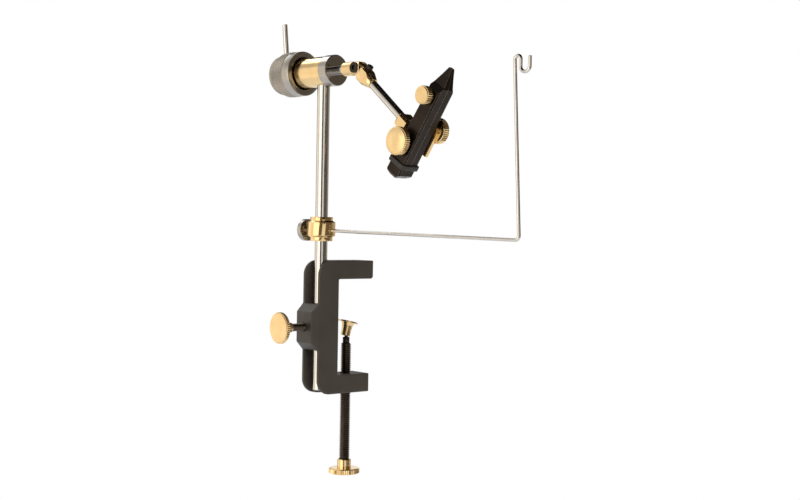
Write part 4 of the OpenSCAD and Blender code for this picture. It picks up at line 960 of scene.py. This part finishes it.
# %% Rear knob
def build_rear_knob():
    columns = KNURL_TEETH * KNURL_PARTS
    outline = rear_knob_outline()
    second = head_axis.cross(UP)
    points = []
    depths = []
    for place, radius, share in outline:
        for column in range(columns):
            swing = 2 * math.pi * column / columns
            sink = share * (1 - diamond(column / KNURL_PARTS * KNURL_PITCH, place)) if share else 0.0
            out = UP * math.cos(swing) + second * math.sin(swing)
            points.append(head_at + head_axis * place + out * (radius - KNURL_DEPTH * sink))
            depths.append(sink)
    piece = new_piece("rear_knob_knurled", points,
                      ring_faces(len(outline), columns) + end_caps(len(outline), columns))
    face_outwards(piece)
    grooves = piece.data.attributes.new("groove", "FLOAT", "POINT")
    grooves.data.foreach_set("value", depths)
    piece.data.set_sharp_from_angle(angle=math.radians(35))
    return piece


rear_knob = build_rear_knob()
# The stored groove depth paints shade into the knurl's grooves.
rear_knob.data.materials.append(satin_steel("steel_rear_knob", head_at, head_axis, 0.4, "groove"))
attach(rear_knob, "rotor")
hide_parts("rear_knob")
print("rear knob has", len(rear_knob.data.polygons), "faces")

# %% [markdown]
# ## Path of the cradle's wire
# The cradle is one length of polished wire, bent to a corner and a hook. A bender works in steps: a straight
# run, then a turn of some angle round a former of some radius. The path is worked out from the same steps.
# The arm droops a little and the leg leans a little, and the corner makes up for both.

# %% Path of the wire
wire_radius = 1.2 * MM
wire_start = 4.8125 * MM
wire_reach = 188 * MM
wire_height = cradle_height - 0.9 * MM
wire_droop = math.radians(1.26)
bend_part = math.radians(6)
leg_height = 116.9 * MM
leg_lean = math.radians(2.8)
corner_radius = 3 * MM
corner_turn = math.pi / 2 + leg_lean + wire_droop
corner_cut = corner_radius * math.tan(corner_turn / 2)

# Each row: straight run, angle of the turn after it, radius of the turn at the wire's middle.
wire_steps = (
    ((wire_reach - wire_start) / math.cos(wire_droop) - corner_cut, corner_turn, corner_radius),
    (leg_height / math.cos(leg_lean) - corner_cut, -math.pi - leg_lean, 2.4 * MM),
    (4.67 * MM, math.pi, 3.75 * MM),
    (6.45 * MM, 0.0, 0.0),
)


def wire_path(at, heading):
    """Places and headings in the plane of the wire: x outwards, y up."""
    stops = [(at, heading)]
    for run, swing, bend in wire_steps:
        at = (at[0] + run * math.cos(heading), at[1] + run * math.sin(heading))
        side = math.copysign(bend, swing)
        centre = (at[0] - side * math.sin(heading), at[1] + side * math.cos(heading))
        parts = math.ceil(abs(swing) / bend_part)
        for part in range(parts + 1):
            turned = heading + swing * part / max(parts, 1)
            stops.append(((centre[0] + side * math.sin(turned), centre[1] - side * math.cos(turned)), turned))
        heading += swing
        at = stops[-1][0]
    return stops


wire_length = sum(run + abs(swing) * bend for run, swing, bend in wire_steps)
print("cradle takes", round(wire_length / MM), "mm of wire")

# %% [markdown]
# ## Cradle wire
# A round tube follows that path, with enough sides to look round. Its last ring is a little smaller, which
# breaks the sharp edge of the cut end.

# %% Cradle wire
def build_wire():
    sides = 24
    end_round = 0.35 * MM
    stops = wire_path((wire_start, wire_height - wire_start * math.tan(wire_droop)), -wire_droop)
    (end_x, end_y), end_heading = stops.pop()
    stops.append(((end_x - end_round * math.cos(end_heading), end_y - end_round * math.sin(end_heading)),
                  end_heading))
    stops.append(((end_x, end_y), end_heading))
    radii = [wire_radius] * (len(stops) - 1) + [wire_radius - end_round]
    points = []
    for (at, heading), radius in zip(stops, radii):
        centre = Vector((post_x, 0, 0)) + head_axis * at[0] + UP * at[1]
        across = -head_axis * math.sin(heading) + UP * math.cos(heading)
        points += round_ring(centre, across, side_axis, radius, sides)
    piece = new_piece("cradle_wire_bent", points,
                      ring_faces(len(stops), sides) + end_caps(len(stops), sides))
    face_outwards(piece)
    piece.data.set_sharp_from_angle(angle=math.radians(40))
    return piece


wire = build_wire()
wire.data.materials.append(polished_steel("steel_wire", head_at, head_axis, 0.16))
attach(wire, "cradle")
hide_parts("cradle_wire")
print("wire has", len(wire.data.polygons), "faces")

# %% [markdown]
# ## Rubber band
# The band is stretched round both feet of the jaws, which together have a square section with cut corners.
# It runs straight over the flat faces and turns round the corners. Its own section is a flat strip with
# rounded edges, carried round the feet as an endless row of rings.

# %% Section of the band
band_width, band_thickness = 3.6 * MM, 1.3 * MM
band_slack, band_edge = 0.2 * MM, 0.45 * MM


def band_section():
    """Points of width and thickness round the strip's section, four at each of its rounded edges."""
    section = []
    for quarter, (u, v) in enumerate([(0.5, 1), (-0.5, 1), (-0.5, 0), (0.5, 0)]):
        for part in range(4):
            swing = math.radians(90 * quarter + 30 * part)
            section.append((u * (band_width - 2 * band_edge) + band_edge * math.cos(swing),
                            v * (band_thickness - 2 * band_edge) + band_edge + band_edge * math.sin(swing)))
    return section


print("section of the band has", len(band_section()), "points")

# %% [markdown]
# The corners of the feet come in the order in which the band goes round them, and nine rings turn it there.

# %% Rubber band
feet_half, feet_back, feet_front, feet_bevel = 7.1 * MM, -7.2 * MM, 6.8 * MM, 1.2 * MM


def build_band():
    corners = [(feet_half, feet_front), (-feet_half, feet_front),
               (-feet_half, feet_back), (feet_half, feet_back)]
    corner_parts = 8
    section = band_section()
    points = []
    for quarter, (side, front) in enumerate(corners):
        pivot = (band_at + side_axis * (side - math.copysign(feet_bevel, side))
                 + jaw_front * (front - math.copysign(feet_bevel, front)))
        for part in range(corner_parts + 1):
            swing = math.radians(90 * quarter + 90 * part / corner_parts)
            out = side_axis * math.cos(swing) + jaw_front * math.sin(swing)
            centre = pivot + out * (feet_bevel + band_slack)
            points += [centre + jaw_axis * u + out * v for u, v in section]
    rings = len(corners) * (corner_parts + 1)
    piece = new_piece("rubber_band_stretched", points, ring_faces(rings, len(section), endless=True))
    face_outwards(piece)
    piece.data.set_sharp_from_angle(angle=math.radians(50))
    return piece


band = build_band()
band.data.materials.append(band_rubber)
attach(band, "jaw")
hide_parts("rubber_band")
print("band has", len(band.data.polygons), "faces")
